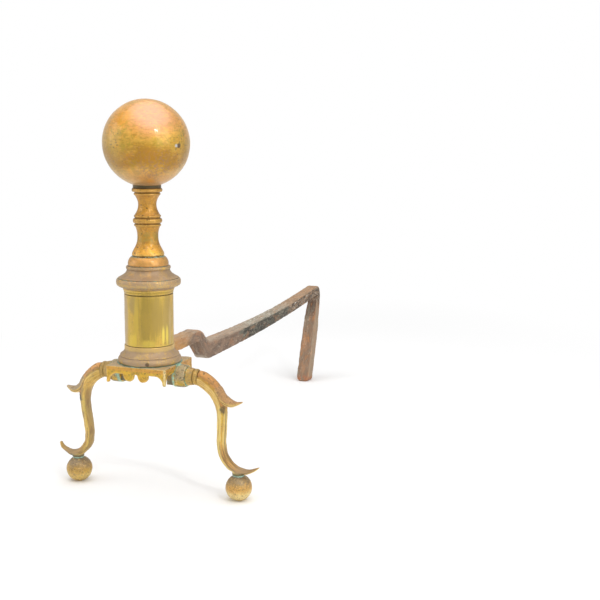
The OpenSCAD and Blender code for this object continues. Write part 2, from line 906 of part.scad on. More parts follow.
// ---- rod and its fixings ----

module tie_rod() {
    color(iron_brown)
    at_column() {
        translate([0, 0, rod_bottom])
            cylinder(d = rod_d, h = rod_top - rod_bottom);
        translate([0, 0, plinth_top + tongue_t])
            cylinder(d = rod_collar_d, h = rod_collar_t);
    }
}

module rod_nut() {
    color(iron_brown)
    at_column()
        translate([0, 0, plinth_under - washer_t - nut_t])
            square_nut(rod_nut_w, rod_d + 2 * thread_gap);
}

module rod_washer() {
    color(iron_brown)
    at_column()
        translate([0, 0, plinth_under - washer_t])
            difference() {
                cylinder(d = washer_d, h = washer_t);
                translate([0, 0, -past])
                    cylinder(d = rod_d + 2 * pass_gap, h = washer_t + 2 * past);
            }
}

ball();
shaft();
cap();
drum();
base_moulding();
plinth();
left_leg();
right_leg();
left_foot();
right_foot();
left_leg_nut();
right_leg_nut();
billet_bar();
tie_rod();
rod_nut();
rod_washer();
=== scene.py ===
import math
from functools import cached_property
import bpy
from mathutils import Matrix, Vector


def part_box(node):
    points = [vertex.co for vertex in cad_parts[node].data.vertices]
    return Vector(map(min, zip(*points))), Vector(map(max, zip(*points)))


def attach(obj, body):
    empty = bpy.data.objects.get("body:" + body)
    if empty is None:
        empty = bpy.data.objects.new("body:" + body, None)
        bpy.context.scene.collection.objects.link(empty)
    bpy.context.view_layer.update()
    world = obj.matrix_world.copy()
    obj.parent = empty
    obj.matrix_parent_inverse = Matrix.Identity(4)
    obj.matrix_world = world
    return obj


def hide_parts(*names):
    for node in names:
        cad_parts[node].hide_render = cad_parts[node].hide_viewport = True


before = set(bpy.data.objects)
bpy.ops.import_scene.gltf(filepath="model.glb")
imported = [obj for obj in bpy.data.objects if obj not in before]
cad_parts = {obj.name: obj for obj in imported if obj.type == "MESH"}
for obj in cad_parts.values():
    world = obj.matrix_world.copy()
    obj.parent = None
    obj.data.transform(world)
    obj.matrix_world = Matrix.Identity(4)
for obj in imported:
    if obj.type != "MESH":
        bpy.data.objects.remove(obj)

from types import SimpleNamespace

import bmesh
import bpy
import numpy as np
from bpy.props import FloatProperty, FloatVectorProperty, PointerProperty
from bpy.types import Operator, Panel, PropertyGroup
from mathutils import Matrix

bl_info = {
    "name": "Ball-top andiron",
    "version": (1, 0, 0),
    "blender": (4, 5, 0),
    "location": "3D View > Sidebar > Andiron",
    "description": "Aged brass and wrought iron for a ball-top andiron, on a studio floor",
    "category": "Object",
}

# Lengths in this script are millimetres, in the frame of the CAD model, until
# store() writes a mesh, whose vertices are metres. +Z is up and +Y runs back.
MM = 0.001


# ---- places, taken from the frame ----

def corners(node):
    """Lowest and highest corners of a CAD node."""
    low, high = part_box(node)
    return np.array(low) / MM, np.array(high) / MM


def middle(node):
    """Centre of a CAD node's box."""
    low, high = corners(node)
    return (low + high) / 2


COLUMN_Y = middle("tie_rod")[1]
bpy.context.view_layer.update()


# ---- settings a user would change ----

def length(label, description, default, smallest, largest):
    """A length given in millimetres, as a property in metres."""
    return FloatProperty(
        name=label, description=description, default=default * MM, min=smallest * MM,
        max=largest * MM, precision=4, subtype="DISTANCE", unit="LENGTH",
    )


def colour(label, description, default):
    """A linear colour, as a property."""
    return FloatVectorProperty(
        name=label, description=description, default=default,
        size=3, min=0.0, max=1.0, subtype="COLOR",
    )


def angle(label, description, degrees):
    """An angle given in degrees, as a property."""
    return FloatProperty(
        name=label, description=description, default=math.radians(degrees), subtype="ANGLE",
    )


def power(label, description, watts):
    """The power of a lamp, as a property."""
    return FloatProperty(name=label, description=description, default=watts, min=0, subtype="POWER")


class AndironTurning(PropertyGroup):
    """Sizes of the turned column."""

    ball_neck_d: length("Ball neck", "Diameter of the neck under the ball", 26.4, 24, 28)
    top_ring_d: length("Top ring", "Diameter of the ring at the top of the shaft", 28.6, 26, 31)
    top_ring_h: length("Top ring height", "Height of that ring", 3.6, 3, 6)
    upper_neck_d: length("Upper neck", "Thinnest diameter of the upper neck", 17, 15, 20)
    upper_neck_h: length("Upper neck length", "Length of the upper neck", 18.6, 16, 26)
    middle_ring_d: length("Middle ring", "Diameter of the ring between the necks", 27.4, 25, 30)
    middle_ring_h: length("Middle ring height", "Height of that ring", 4.4, 3, 6)
    lower_neck_d: length("Lower neck", "Thinnest diameter of the lower neck", 19.5, 17, 22)
    lower_neck_h: length("Lower neck length", "Length of the lower neck and bell", 27.4, 24, 36)
    bell_d: length("Bell", "Diameter at the mouth of the bell", 30.6, 28, 33)
    cap_lip_d: length("Cap lip", "Diameter of the lip at the top of the cap", 42, 40, 46)
    cap_cove_h: length("Cap cove", "Height of the cap's hollow moulding", 8.6, 6, 12)
    cap_rim_h: length("Cap rim", "Height of the cap's rim", 6.6, 5, 9)
    drum_collar_h: length("Drum collar", "Height of the drum's flared collar", 4.4, 3, 8)


class AndironCasting(PropertyGroup):
    """Sizes of the legs, the bar and the unevenness of the surfaces."""

    arch_t: length("Arch thickness", "Thickness of the leg at the top of its arch", 16, 13, 18)
    arch_w: length("Arch width", "Width of the leg at the top of its arch", 15, 12, 17)
    shank_t: length("Shank thickness", "Thickness of the shank", 8.2, 7, 12)
    shank_w: length("Shank width", "Width of the shank", 10.8, 9, 14)
    spur_l: length("Knee spur", "Length of the knee spur past the shank", 17.5, 12, 22)
    bar_w: length("Bar width", "Width of the billet bar", 15, 12, 18)
    heel_t: length("Heel thickness", "Thickness of the bar at the foot of its step", 19.4, 17, 22)
    bar_t: length("Bar thickness", "Thickness of the bar at its rear bend", 14, 12, 17)
    rear_leg_t: length("Rear leg thickness", "Thickness of the spread rear leg", 18.6, 14, 21)
    rear_leg_w: length("Rear leg width", "Width of the spread rear leg", 18.4, 15, 21)
    tongue_t: length("Tongue thickness", "Thickness of the bar's tongue", 12.5, 10, 15)
    edge_wear: length("Edge wear", "Rounding that wear gives to cast edges", 0.5, 0.1, 1.5)
    cast_waves: length("Casting waves", "Height of the unevenness of cast brass", 0.12, 0, 0.5)
    hammer_marks: length("Hammer marks", "Depth of the marks of forging", 0.3, 0, 1)


class AndironColours(PropertyGroup):
    """Colours of the brass, its patina and the iron."""

    gold: colour("Gold", "Brass where hands and cloths have kept it bright", (0.84, 0.53, 0.055))
    orange: colour("Orange", "Coppery bloom of old polish", (0.84, 0.40, 0.035))
    olive: colour("Olive", "Greenish gold of tarnished brass", (0.56, 0.375, 0.03))
    umber: colour("Umber", "Brown patina", (0.42, 0.235, 0.075))
    rose: colour("Rose", "Pinkish brown of brass that is never polished", (0.44, 0.31, 0.205))
    grime: colour("Grime", "Black dirt in the grooves", (0.12, 0.10, 0.05))
    verdigris: colour("Verdigris", "Blue-green corrosion at the joints", (0.46, 0.72, 0.58))
    rust: colour("Rust", "Brown rust of the iron", (0.38, 0.26, 0.175))
    fresh_rust: colour("Fresh rust", "Orange rust", (0.50, 0.25, 0.12))
    scale: colour("Fire scale", "Grey-green scale from the fire", (0.20, 0.195, 0.145))
    ash: colour("Ash", "Pale ash and lime on the iron", (0.56, 0.47, 0.37))


class AndironStudio(PropertyGroup):
    """Camera, floor and lamps."""

    lens: FloatProperty(name="Lens", description="Focal length in mm", default=60, min=20, max=200)
    yaw: angle("Yaw", "Turn of the camera to the left", 17.95)
    pitch: angle("Pitch", "Fall of the view", 9.30)
    roll: angle("Roll", "Roll of the camera", 0.46)
    floor: colour("Floor", "Colour of the floor", (0.80, 0.80, 0.80))
    top: power("Top lamp", "Power of the broad lamp overhead", 23.0)
    side: power("Side lamps", "Power of the right lamp, of which the left one has a share", 8.0)
    spark: power("Small lamp", "Power of the small lamp that sets sparkles", 2.2)
    sky: FloatProperty(name="Sky", description="Strength of the even light", default=0.48, min=0)


def settings(name):
    """One of the groups of settings of this scene."""
    return getattr(bpy.context.scene, "andiron_" + name)


def sizes(name):
    """The lengths of a group of settings, in millimetres."""
    group = settings(name)
    return SimpleNamespace(**{key: getattr(group, key) / MM for key in type(group).__annotations__})


# ---- outlines, as arrays of [radius, height] ----

def arc(centre, across, up, start, end, steps=16):
    """Part of an ellipse: centre + (across cos a, up sin a), with a in degrees."""
    a = np.radians(np.linspace(start, end, steps + 1))
    return np.stack([centre[0] + across * np.cos(a), centre[1] + up * np.sin(a)], axis=1)


def bead(radius, bulge, low, high):
    """A half-round that stands out by bulge between two levels."""
    return arc((radius, (low + high) / 2), bulge, (high - low) / 2, -90, 90)


def hollow(r0, z0, r1, z1, steps=24):
    """A parabola that ends level with the axis: r1 + (r0 - r1)(1 - t)^2."""
    t = np.linspace(0, 1, steps + 1)
    return np.stack([r1 + (r0 - r1) * (1 - t) ** 2, z0 + (z1 - z0) * t], axis=1)


def bell(r0, z0, r1, z1, lateness=1.5, steps=32):
    """An S-curve r0 + (r1 - r0) s s (3 - 2 s), with s = t to the power of lateness."""
    t = np.linspace(0, 1, steps + 1)
    s = t ** lateness
    return np.stack([r0 + (r1 - r0) * s * s * (3 - 2 * s), z0 + (z1 - z0) * t], axis=1)


def chain(*stretches):
    """Stretches of outline, one after the other; a stretch may be a list of points."""
    return np.concatenate([np.asarray(s, dtype=float).reshape(-1, 2) for s in stretches])


def evenly(points, step):
    """A line's points replaced by ones about a step apart, measured along it."""
    gaps = np.linalg.norm(np.diff(points, axis=0), axis=1)
    along = np.concatenate([[0], np.cumsum(gaps)])
    wanted = np.linspace(0, along[-1], max(2, int(round(along[-1] / step))) + 1)
    return np.stack([np.interp(wanted, along, points[:, k]) for k in range(points.shape[1])], axis=1)


# ---- meshes ----

def grid_faces(rows, columns, close_rows=False, close_columns=True):
    """Quads over a grid of points, closed to its first row or column where asked."""
    index = np.arange(rows * columns).reshape(rows, columns)
    if close_columns:
        index = np.concatenate([index, index[:, :1]], axis=1)
    if close_rows:
        index = np.concatenate([index, index[:1]], axis=0)
    quads = [index[:-1, :-1], index[:-1, 1:], index[1:, 1:], index[1:, :-1]]
    return np.stack(quads, axis=-1).reshape(-1, 4)


class Shape:
    """Points and quads of one or more surfaces, which become one mesh."""

    def __init__(self):
        self.points = np.zeros((0, 3))
        self.quads = np.zeros((0, 4), dtype=int)

    def add(self, points, close_rows=False, close_columns=True):
        """Takes in a grid of points, rows by columns by 3."""
        rows, columns = points.shape[:2]
        quads = grid_faces(rows, columns, close_rows, close_columns)
        self.quads = np.concatenate([self.quads, quads + len(self.points)])
        self.points = np.concatenate([self.points, points.reshape(-1, 3)])
        return self

    def store(self, name):
        """The shape as an object, with its poles merged and its faces outwards."""
        mesh = bpy.data.meshes.new(name)
        mesh.vertices.add(len(self.points))
        mesh.vertices.foreach_set("co", (self.points * MM).ravel())
        mesh.loops.add(self.quads.size)
        mesh.loops.foreach_set("vertex_index", self.quads.ravel())
        mesh.polygons.add(len(self.quads))
        mesh.polygons.foreach_set("loop_start", np.arange(0, self.quads.size, 4))
        mesh.update(calc_edges=True)
        tidy(mesh)
        piece = bpy.data.objects.new(name, mesh)
        bpy.context.scene.collection.objects.link(piece)
        return piece


def tidy(mesh):
    """Merges the points that coincide, as at a pole, and turns every face outwards."""
    work = bmesh.new()
    work.from_mesh(mesh)
    bmesh.ops.remove_doubles(work, verts=work.verts, dist=1e-7)
    bmesh.ops.dissolve_degenerate(work, edges=work.edges, dist=1e-8)
    bmesh.ops.recalc_face_normals(work, faces=work.faces)
    work.to_mesh(mesh)
    work.free()
    mesh.update()


def mesh_points(piece):
    """A piece's vertices, in millimetres."""
    points = np.empty(len(piece.data.vertices) * 3)
    piece.data.vertices.foreach_get("co", points)
    return points.reshape(-1, 3) / MM


def mesh_normals(piece):
    """The normals at a piece's vertices."""
    normals = np.empty(len(piece.data.vertices) * 3, dtype=np.float32)
    piece.data.vertex_normals.foreach_get("vector", normals)
    return normals.reshape(-1, 3)


def move_points(piece, points):
    """Puts new places, in millimetres, into a piece's vertices."""
    piece.data.vertices.foreach_set("co", (points * MM).ravel())
    piece.data.update()


def smoothed(piece, rounds):
    """Where the vertices go when each moves halfway to its neighbours' mean, some rounds over."""
    points = mesh_points(piece)
    edges = np.empty(len(piece.data.edges) * 2, dtype=np.int64)
    piece.data.edges.foreach_get("vertices", edges)
    a, b = edges.reshape(-1, 2).T
    ends = np.concatenate([a, b])
    others = np.concatenate([b, a])
    count = np.maximum(np.bincount(ends, minlength=len(points)), 1)
    for _ in range(rounds):
        mean = [np.bincount(ends, points[others, k], len(points)) / count for k in range(3)]
        points = (points + np.stack(mean, axis=1)) / 2
    return points


def waves(points, size, seed, count=28):
    """Smooth noise: the sum of sin(k.p + phase) over plane waves of about one length."""
    random = np.random.default_rng(seed)
    headings = random.normal(size=(count, 3))
    headings /= np.linalg.norm(headings, axis=1, keepdims=True)
    pace = 2 * np.pi / (size * random.uniform(0.7, 1.5, count))
    phase = random.uniform(0, 2 * np.pi, count)
    return np.sin(points @ (headings * pace[:, None]).T + phase).sum(axis=1) / math.sqrt(count / 2)


def weather(piece, height, size, seed):
    """Makes a surface uneven: each vertex moves along its normal by height times waves()."""
    points = mesh_points(piece)
    normals = mesh_normals(piece)
    lift = height * (0.7 * waves(points, size, seed) + 0.3 * waves(points, size / 3, seed + 1))
    move_points(piece, points + normals * lift[:, None])


def store_marks(piece, **marks):
    """Stores numbers on a piece's vertices, for its material to read."""
    for name, numbers in marks.items():
        attribute = piece.data.attributes.new(name, "FLOAT", "POINT")
        attribute.data.foreach_set("value", np.asarray(numbers, dtype=np.float32))


def mark_sweep(piece, local, spines):
    """Stores where each vertex lies in a swept section, as seen from the nearest spine.

    local holds the vertices as [out, aside, up], and a spine's rows are [out, up,
    thickness, width]. With n the spine's normal in its plane, crown is (p - spine).n
    over half the thickness, flank is the sideways distance over half the width, along
    is the length of spine up to there, and spur tells which of the spines it is: the
    one with the smaller crown and flank counts.
    """
    local = local.astype(np.float32)
    found = []
    for spine in spines:
        heading = np.gradient(spine[:, :2], axis=0)
        heading /= np.linalg.norm(heading, axis=1, keepdims=True)
        steps = np.linalg.norm(np.diff(spine[:, :2], axis=0), axis=1)
        along = np.concatenate([[0], np.cumsum(steps)])
        gaps = np.hypot(
            local[:, 0:1] - spine[:, 0].astype(np.float32),
            local[:, 2:3] - spine[:, 1].astype(np.float32),
        )
        near = gaps.argmin(axis=1)
        half_t = spine[near, 2] / 2
        off_x = local[:, 0] - spine[near, 0]
        off_z = local[:, 2] - spine[near, 1]
        crown = (off_z * heading[near, 0] - off_x * heading[near, 1]) / half_t
        flank = local[:, 1] / (spine[near, 3] / 2)
        found.append((np.hypot(gaps.min(axis=1) / half_t, flank), crown, flank, along[near]))
    spur = found[-1][0] < found[0][0]
    crown, flank, along = (np.where(spur, b, a) for a, b in zip(found[0][1:], found[-1][1:]))
    store_marks(piece, crown=crown, flank=flank, along=along, spur=spur)


def mark_relief(piece, rounds=8):
    """Stores, in an attribute, how far each vertex stands out from its smoothed surface.

    The value is in millimetres: above 0 on edges, which rub bright, and below 0 in
    grooves and corners, which hold the dirt.
    """
    rise = ((mesh_points(piece) - smoothed(piece, rounds)) * mesh_normals(piece)).sum(axis=1)
    store_marks(piece, relief=rise)


def softened_copy(node, name, voxel, rounds):
    """A copy of a CAD node with worn edges: voxels of one size, then smoothing."""
    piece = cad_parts[node].copy()
    piece.data = piece.data.copy()
    for key in list(piece.keys()):
        del piece[key]
    piece.name = name
    piece.parent = None
    bpy.context.scene.collection.objects.link(piece)
    tidy(piece.data)
    remesh(piece, voxel)
    move_points(piece, smoothed(piece, rounds))
    return piece


def remesh(piece, voxel):
    """Rebuilds a closed piece as one skin of small squares."""
    modifier = piece.modifiers.new("Skin", "REMESH")
    modifier.mode = "VOXEL"
    modifier.voxel_size = voxel * MM
    modifier.use_smooth_shade = True
    graph = bpy.context.evaluated_depsgraph_get()
    mesh = bpy.data.meshes.new_from_object(piece.evaluated_get(graph))
    piece.modifiers.clear()
    old = piece.data
    piece.data = mesh
    bpy.data.meshes.remove(old)


def join(pieces, name):
    """Several pieces as one object."""
    bpy.ops.object.select_all(action="DESELECT")
    for piece in pieces:
        piece.select_set(True)
    bpy.context.view_layer.objects.active = pieces[0]
    bpy.ops.object.join()
    pieces[0].name = name
    return pieces[0]


# The least angles, in degrees, at which turned and cast surfaces show a sharp edge
TURNED_CREASE, CAST_CREASE = 40, 80


def finish_piece(piece, material, nodes, crease=TURNED_CREASE):
    """Shades, names, dresses and seats a finished piece, which stands for CAD nodes."""
    piece.data.name = piece.name
    piece.data.shade_smooth()
    piece.data.set_sharp_from_angle(angle=math.radians(crease))
    dress(piece, material)
    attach(piece, "root")
    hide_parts(*nodes)


def dress(piece, material):
    """Gives a piece its one material."""
    piece.data.materials.clear()
    piece.data.materials.append(material)


# ---- turned pieces ----

def lathe(outline, centre, segments=160):
    """Surface of revolution about an upright axis: (r, z) goes to (r cos a, r sin a, z)."""
    a = np.linspace(0, 2 * np.pi, segments, endpoint=False)
    r = outline[:, 0][:, None]
    z = np.broadcast_to(outline[:, 1][:, None], (len(outline), segments))
    return np.stack([centre[0] + r * np.cos(a), centre[1] + r * np.sin(a), z], axis=-1)


# Sizes of the turned pieces that no setting changes

GROOVE_W = 1.0  # height of the grooves that part the rings
GROOVE_T = 0.7  # their depth
LIP_H = 2.0  # height of the lips beside them
LIP_ROUND = 0.5  # how far a lip bulges
LIP_IN = 1.1  # step in from the middle ring to its lips
TOP_LIP_IN = 1.9  # step in from the top ring to its lip
RING_ROUND = 1.2  # how far a ring bulges
UPPER_THIN = 0.53  # share of the upper neck below its thinnest place
LOWER_THIN = 0.68  # share of the lower neck and bell below its thinnest place
NECK_IN = 0.7  # step in from a lip to the upper neck
FOOT_ROUND = 10  # half width of the ellipse that the shaft's foot is part of
CAP_LIP_H = 3.2  # height of the cap's top lip
CAP_LIP_ROUND = 0.8  # how far it bulges
RIM_ROUND = 1.4  # how far the cap's rim bulges
RIM_STEP = 2.4  # step in from the rim to the edges above and below it
DRUM_WALL = 2.6  # wall of the drum
REGISTER_GAP = 0.15  # play of the cap's spigot in the drum
REGISTER_T = 2.6  # wall of that spigot
FLARE_OUT = 1.2  # how far the drum's collar flares
NICK = 0.1  # offset that keeps the corner between two stretches crisp
ROD_HOLE_R = 4.3  # radius of the rod's holes


def groove(radius, low):
    """A square groove cut into a radius, upwards from a level."""
    return [[radius - GROOVE_T, low], [radius - GROOVE_T, low + GROOVE_W]]


def ball_outline(turning):
    """The neck's flat foot, the neck, and the ball up to its pole."""
    low, high = corners("ball")
    radius = (high[0] - low[0]) / 2
    neck_r = turning.ball_neck_d / 2
    centre_z = high[2] - radius
    start = -math.degrees(math.acos(neck_r / radius))
    return chain(
        [[0, low[2]], [neck_r, low[2]]],
        arc((0, centre_z), radius, radius, start, 90, 90),
    )


def shaft_outline(turning):
    """The shaft from the cap up: foot, bell, lower neck, ring, upper neck, ring."""
    low, high = corners("shaft")
    foot_r = (high[0] - low[0]) / 2
    top = high[2]
    bell_r = turning.bell_d / 2
    middle_r = turning.middle_ring_d / 2
    top_r = turning.top_ring_d / 2
    lip_r = middle_r - LIP_IN
    top_lip_r = top_r - TOP_LIP_IN
    top_start = top - turning.top_ring_h
    upper_end = top_start - GROOVE_W - LIP_H
    upper_start = upper_end - turning.upper_neck_h
    upper_thin = upper_start + UPPER_THIN * turning.upper_neck_h
    middle_end = upper_start - LIP_H - GROOVE_W
    middle_start = middle_end - turning.middle_ring_h
    lower_end = middle_start - GROOVE_W - LIP_H
    bell_start = lower_end - turning.lower_neck_h
    lower_thin = bell_start + LOWER_THIN * turning.lower_neck_h
    foot_end = bell_start - GROOVE_W
    foot_h = foot_end - low[2]
    return chain(
        [[ROD_HOLE_R, low[2]], [foot_r - 0.5, low[2]]],
        arc((foot_r - FOOT_ROUND, low[2] + 2), FOOT_ROUND, 1.35 * (foot_h - 2), -4, 47.8),
        groove(bell_r + 0.2, foot_end),
        bell(turning.lower_neck_d / 2, lower_thin, bell_r, bell_start + 0.4)[::-1],
        hollow(lip_r - 0.9, lower_end, turning.lower_neck_d / 2, lower_thin)[::-1],
        bead(lip_r - LIP_ROUND, LIP_ROUND, lower_end + NICK, lower_end + LIP_H),
        groove(lip_r, middle_start - GROOVE_W),
        bead(middle_r - RING_ROUND, RING_ROUND, middle_start, middle_end),
        groove(lip_r, middle_end),
        bead(lip_r - LIP_ROUND, LIP_ROUND, upper_start - LIP_H, upper_start),
        hollow(lip_r - NECK_IN, upper_start + NICK, turning.upper_neck_d / 2, upper_thin),
        hollow(top_lip_r - NECK_IN, upper_end, turning.upper_neck_d / 2, upper_thin)[::-1],
        bead(top_lip_r - LIP_ROUND, LIP_ROUND, upper_end + NICK, upper_end + LIP_H),
        groove(top_lip_r, top_start - GROOVE_W),
        bead(top_r - RING_ROUND, RING_ROUND, top_start, top),
        [[ROD_HOLE_R, top]],
    )


def drum_radius():
    """Radius of the drum's plain wall, inside its flared collar."""
    low, high = corners("drum")
    return (high[0] - low[0]) / 2 - FLARE_OUT + NICK


def cap_outline(turning):
    """The cap from the drum up: underside, rim, cove and lip, round its own hollow."""
    low, high = corners("cap")
    drum_top = corners("drum")[1][2]
    register_r = drum_radius() - DRUM_WALL - REGISTER_GAP
    flare_r = drum_radius() + FLARE_OUT
    rim_r = (high[0] - low[0]) / 2
    lip_r = turning.cap_lip_d / 2
    edge_r = rim_r - RIM_STEP
    cove_end = high[2] - CAP_LIP_H
    rim_end = cove_end - turning.cap_cove_h
    rim_start = rim_end - turning.cap_rim_h
    band_end = drum_top + 0.5
    under_end = rim_start - 0.7
    return chain(
        [[register_r - REGISTER_T, low[2]], [register_r, low[2]], [register_r, drum_top]],
        [[flare_r, drum_top], [flare_r, band_end]],
        arc((edge_r, band_end), edge_r - flare_r, under_end - band_end, 180, 90),
        [[edge_r + 0.2, under_end], [edge_r + 0.2, rim_start]],
        bead(rim_r - RIM_ROUND, RIM_ROUND, rim_start + NICK, rim_end),
        [[edge_r, rim_end + NICK], [edge_r, rim_end + 0.6]],
        hollow(rim_r - 1.9, rim_end + 0.7, lip_r - GROOVE_T, cove_end),
        bead(lip_r - CAP_LIP_ROUND, CAP_LIP_ROUND, cove_end + NICK, high[2]),
        [[ROD_HOLE_R, high[2]], [ROD_HOLE_R, rim_end], [register_r - REGISTER_T, rim_end]],
    )


def drum_outline(turning):
    """The drum, with a soft lower edge, a groove and a collar that flares to the cap."""
    low, high = corners("drum")
    radius = drum_radius()
    flare_r = radius + FLARE_OUT
    collar = high[2] - turning.drum_collar_h
    return chain(
        [[radius - DRUM_WALL, low[2]], [radius - 0.5, low[2]], [radius, low[2] + 0.5]],
        [[radius, collar - GROOVE_W]],
        groove(radius, collar - GROOVE_W),
        hollow(flare_r - NICK, high[2] - 0.8, radius + NICK, collar)[::-1],
        [[flare_r - NICK, high[2] - 0.2], [flare_r - 0.4, high[2]]],
        [[radius - DRUM_WALL, high[2]]],
    )


def turned_piece(name, outline, step, closed):
    """A turned piece of the column; a closed outline comes back down inside a bore."""
    if closed:
        outline = evenly(np.concatenate([outline, outline[:1]]), step)[:-1]
    else:
        outline = evenly(outline, step)
    return Shape().add(lathe(outline, (0, COLUMN_Y)), close_rows=closed).store(name)


# ---- legs and feet ----

def unit(vector):
    """A direction of length 1."""
    vector = np.asarray(vector, dtype=float)
    return vector / np.linalg.norm(vector)


def spline(points, steps):
    """Catmull-Rom curve through the points, with as many steps on each span."""
    ends = np.concatenate([points[:1], points, points[-1:]])
    p0, p1, p2, p3 = (ends[k:len(ends) - 3 + k][:, None, :] for k in range(4))
    t = np.linspace(0, 1, steps, endpoint=False)[None, :, None]
    curve = p1 + (p2 - p0) * t / 2 + (2 * p0 - 5 * p1 + 4 * p2 - p3) * t ** 2 / 2
    curve = curve + (3 * p1 - p0 - 3 * p2 + p3) * t ** 3 / 2
    return np.concatenate([curve.reshape(-1, points.shape[1]), points[-1:]])


def soft_polygon(corner_points, columns, softness):
    """A closed polygon's outline at even steps, its corners rounded by a moving mean."""
    ring = np.concatenate([corner_points, corner_points[:1]])
    gaps = np.linalg.norm(np.diff(ring, axis=0), axis=1)
    even = evenly(ring, gaps.sum() / columns)[:-1]
    reach = int(round(softness * len(even)))
    shifts = [np.roll(even, k, axis=0) for k in range(-reach, reach + 1)]
    return np.mean(shifts, axis=0)


# The leg's section, for half its thickness outwards and half its width: a crowned
# outer face, a ridge down the front and the back, and a flat inner face
LEG_SECTION = np.array([
    [1, 0], [0.8, 0.62], [0.12, 1], [-0.72, 0.72], [-1, 0.3],
    [-1, -0.3], [-0.72, -0.72], [0.12, -1], [0.8, -0.62],
])
RIDGE = 0.12


def leg_sweep(spine, section, end_rows=6):
    """The section carried along a spine of [out, up, thickness, width], with a round tip.

    A point of the section goes to spine + a (normal) + b (sideways), where a and b are
    its shares of half the thickness and half the width there.
    """
    heading = np.gradient(spine[:, :2], axis=0)
    heading /= np.linalg.norm(heading, axis=1, keepdims=True)
    tip = np.linspace(0, np.pi / 2, end_rows + 1)[1:, None]
    reach = spine[-1, 2] / 2
    tip_places = spine[-1, :2] + heading[-1] * reach * np.sin(tip)
    tip_rows = np.concatenate([tip_places, spine[-1, 2:] * np.cos(tip)], axis=1)
    first = spine[:1] * [1, 1, 0, 0]
    rows = np.concatenate([first, spine, tip_rows])
    heading = np.concatenate([heading[:1], heading, np.repeat(heading[-1:], end_rows, axis=0)])
    a = rows[:, 2:3] / 2 * section[:, 0]
    b = rows[:, 3:4] / 2 * section[:, 1]
    x = rows[:, 0:1] - heading[:, 1:2] * a
    z = rows[:, 1:2] + heading[:, 0:1] * a
    return np.stack([x, b, z], axis=-1)


def lathe_out(outline, segments=120):
    """Surface of revolution about the leg's tenon: (r, x) goes to (x, r cos a, r sin a)."""
    a = np.linspace(0, 2 * np.pi, segments, endpoint=False)
    r = outline[:, 0][:, None]
    x = np.broadcast_to(outline[:, 1][:, None], (len(outline), segments))
    return np.stack([x, r * np.cos(a), r * np.sin(a)], axis=-1)


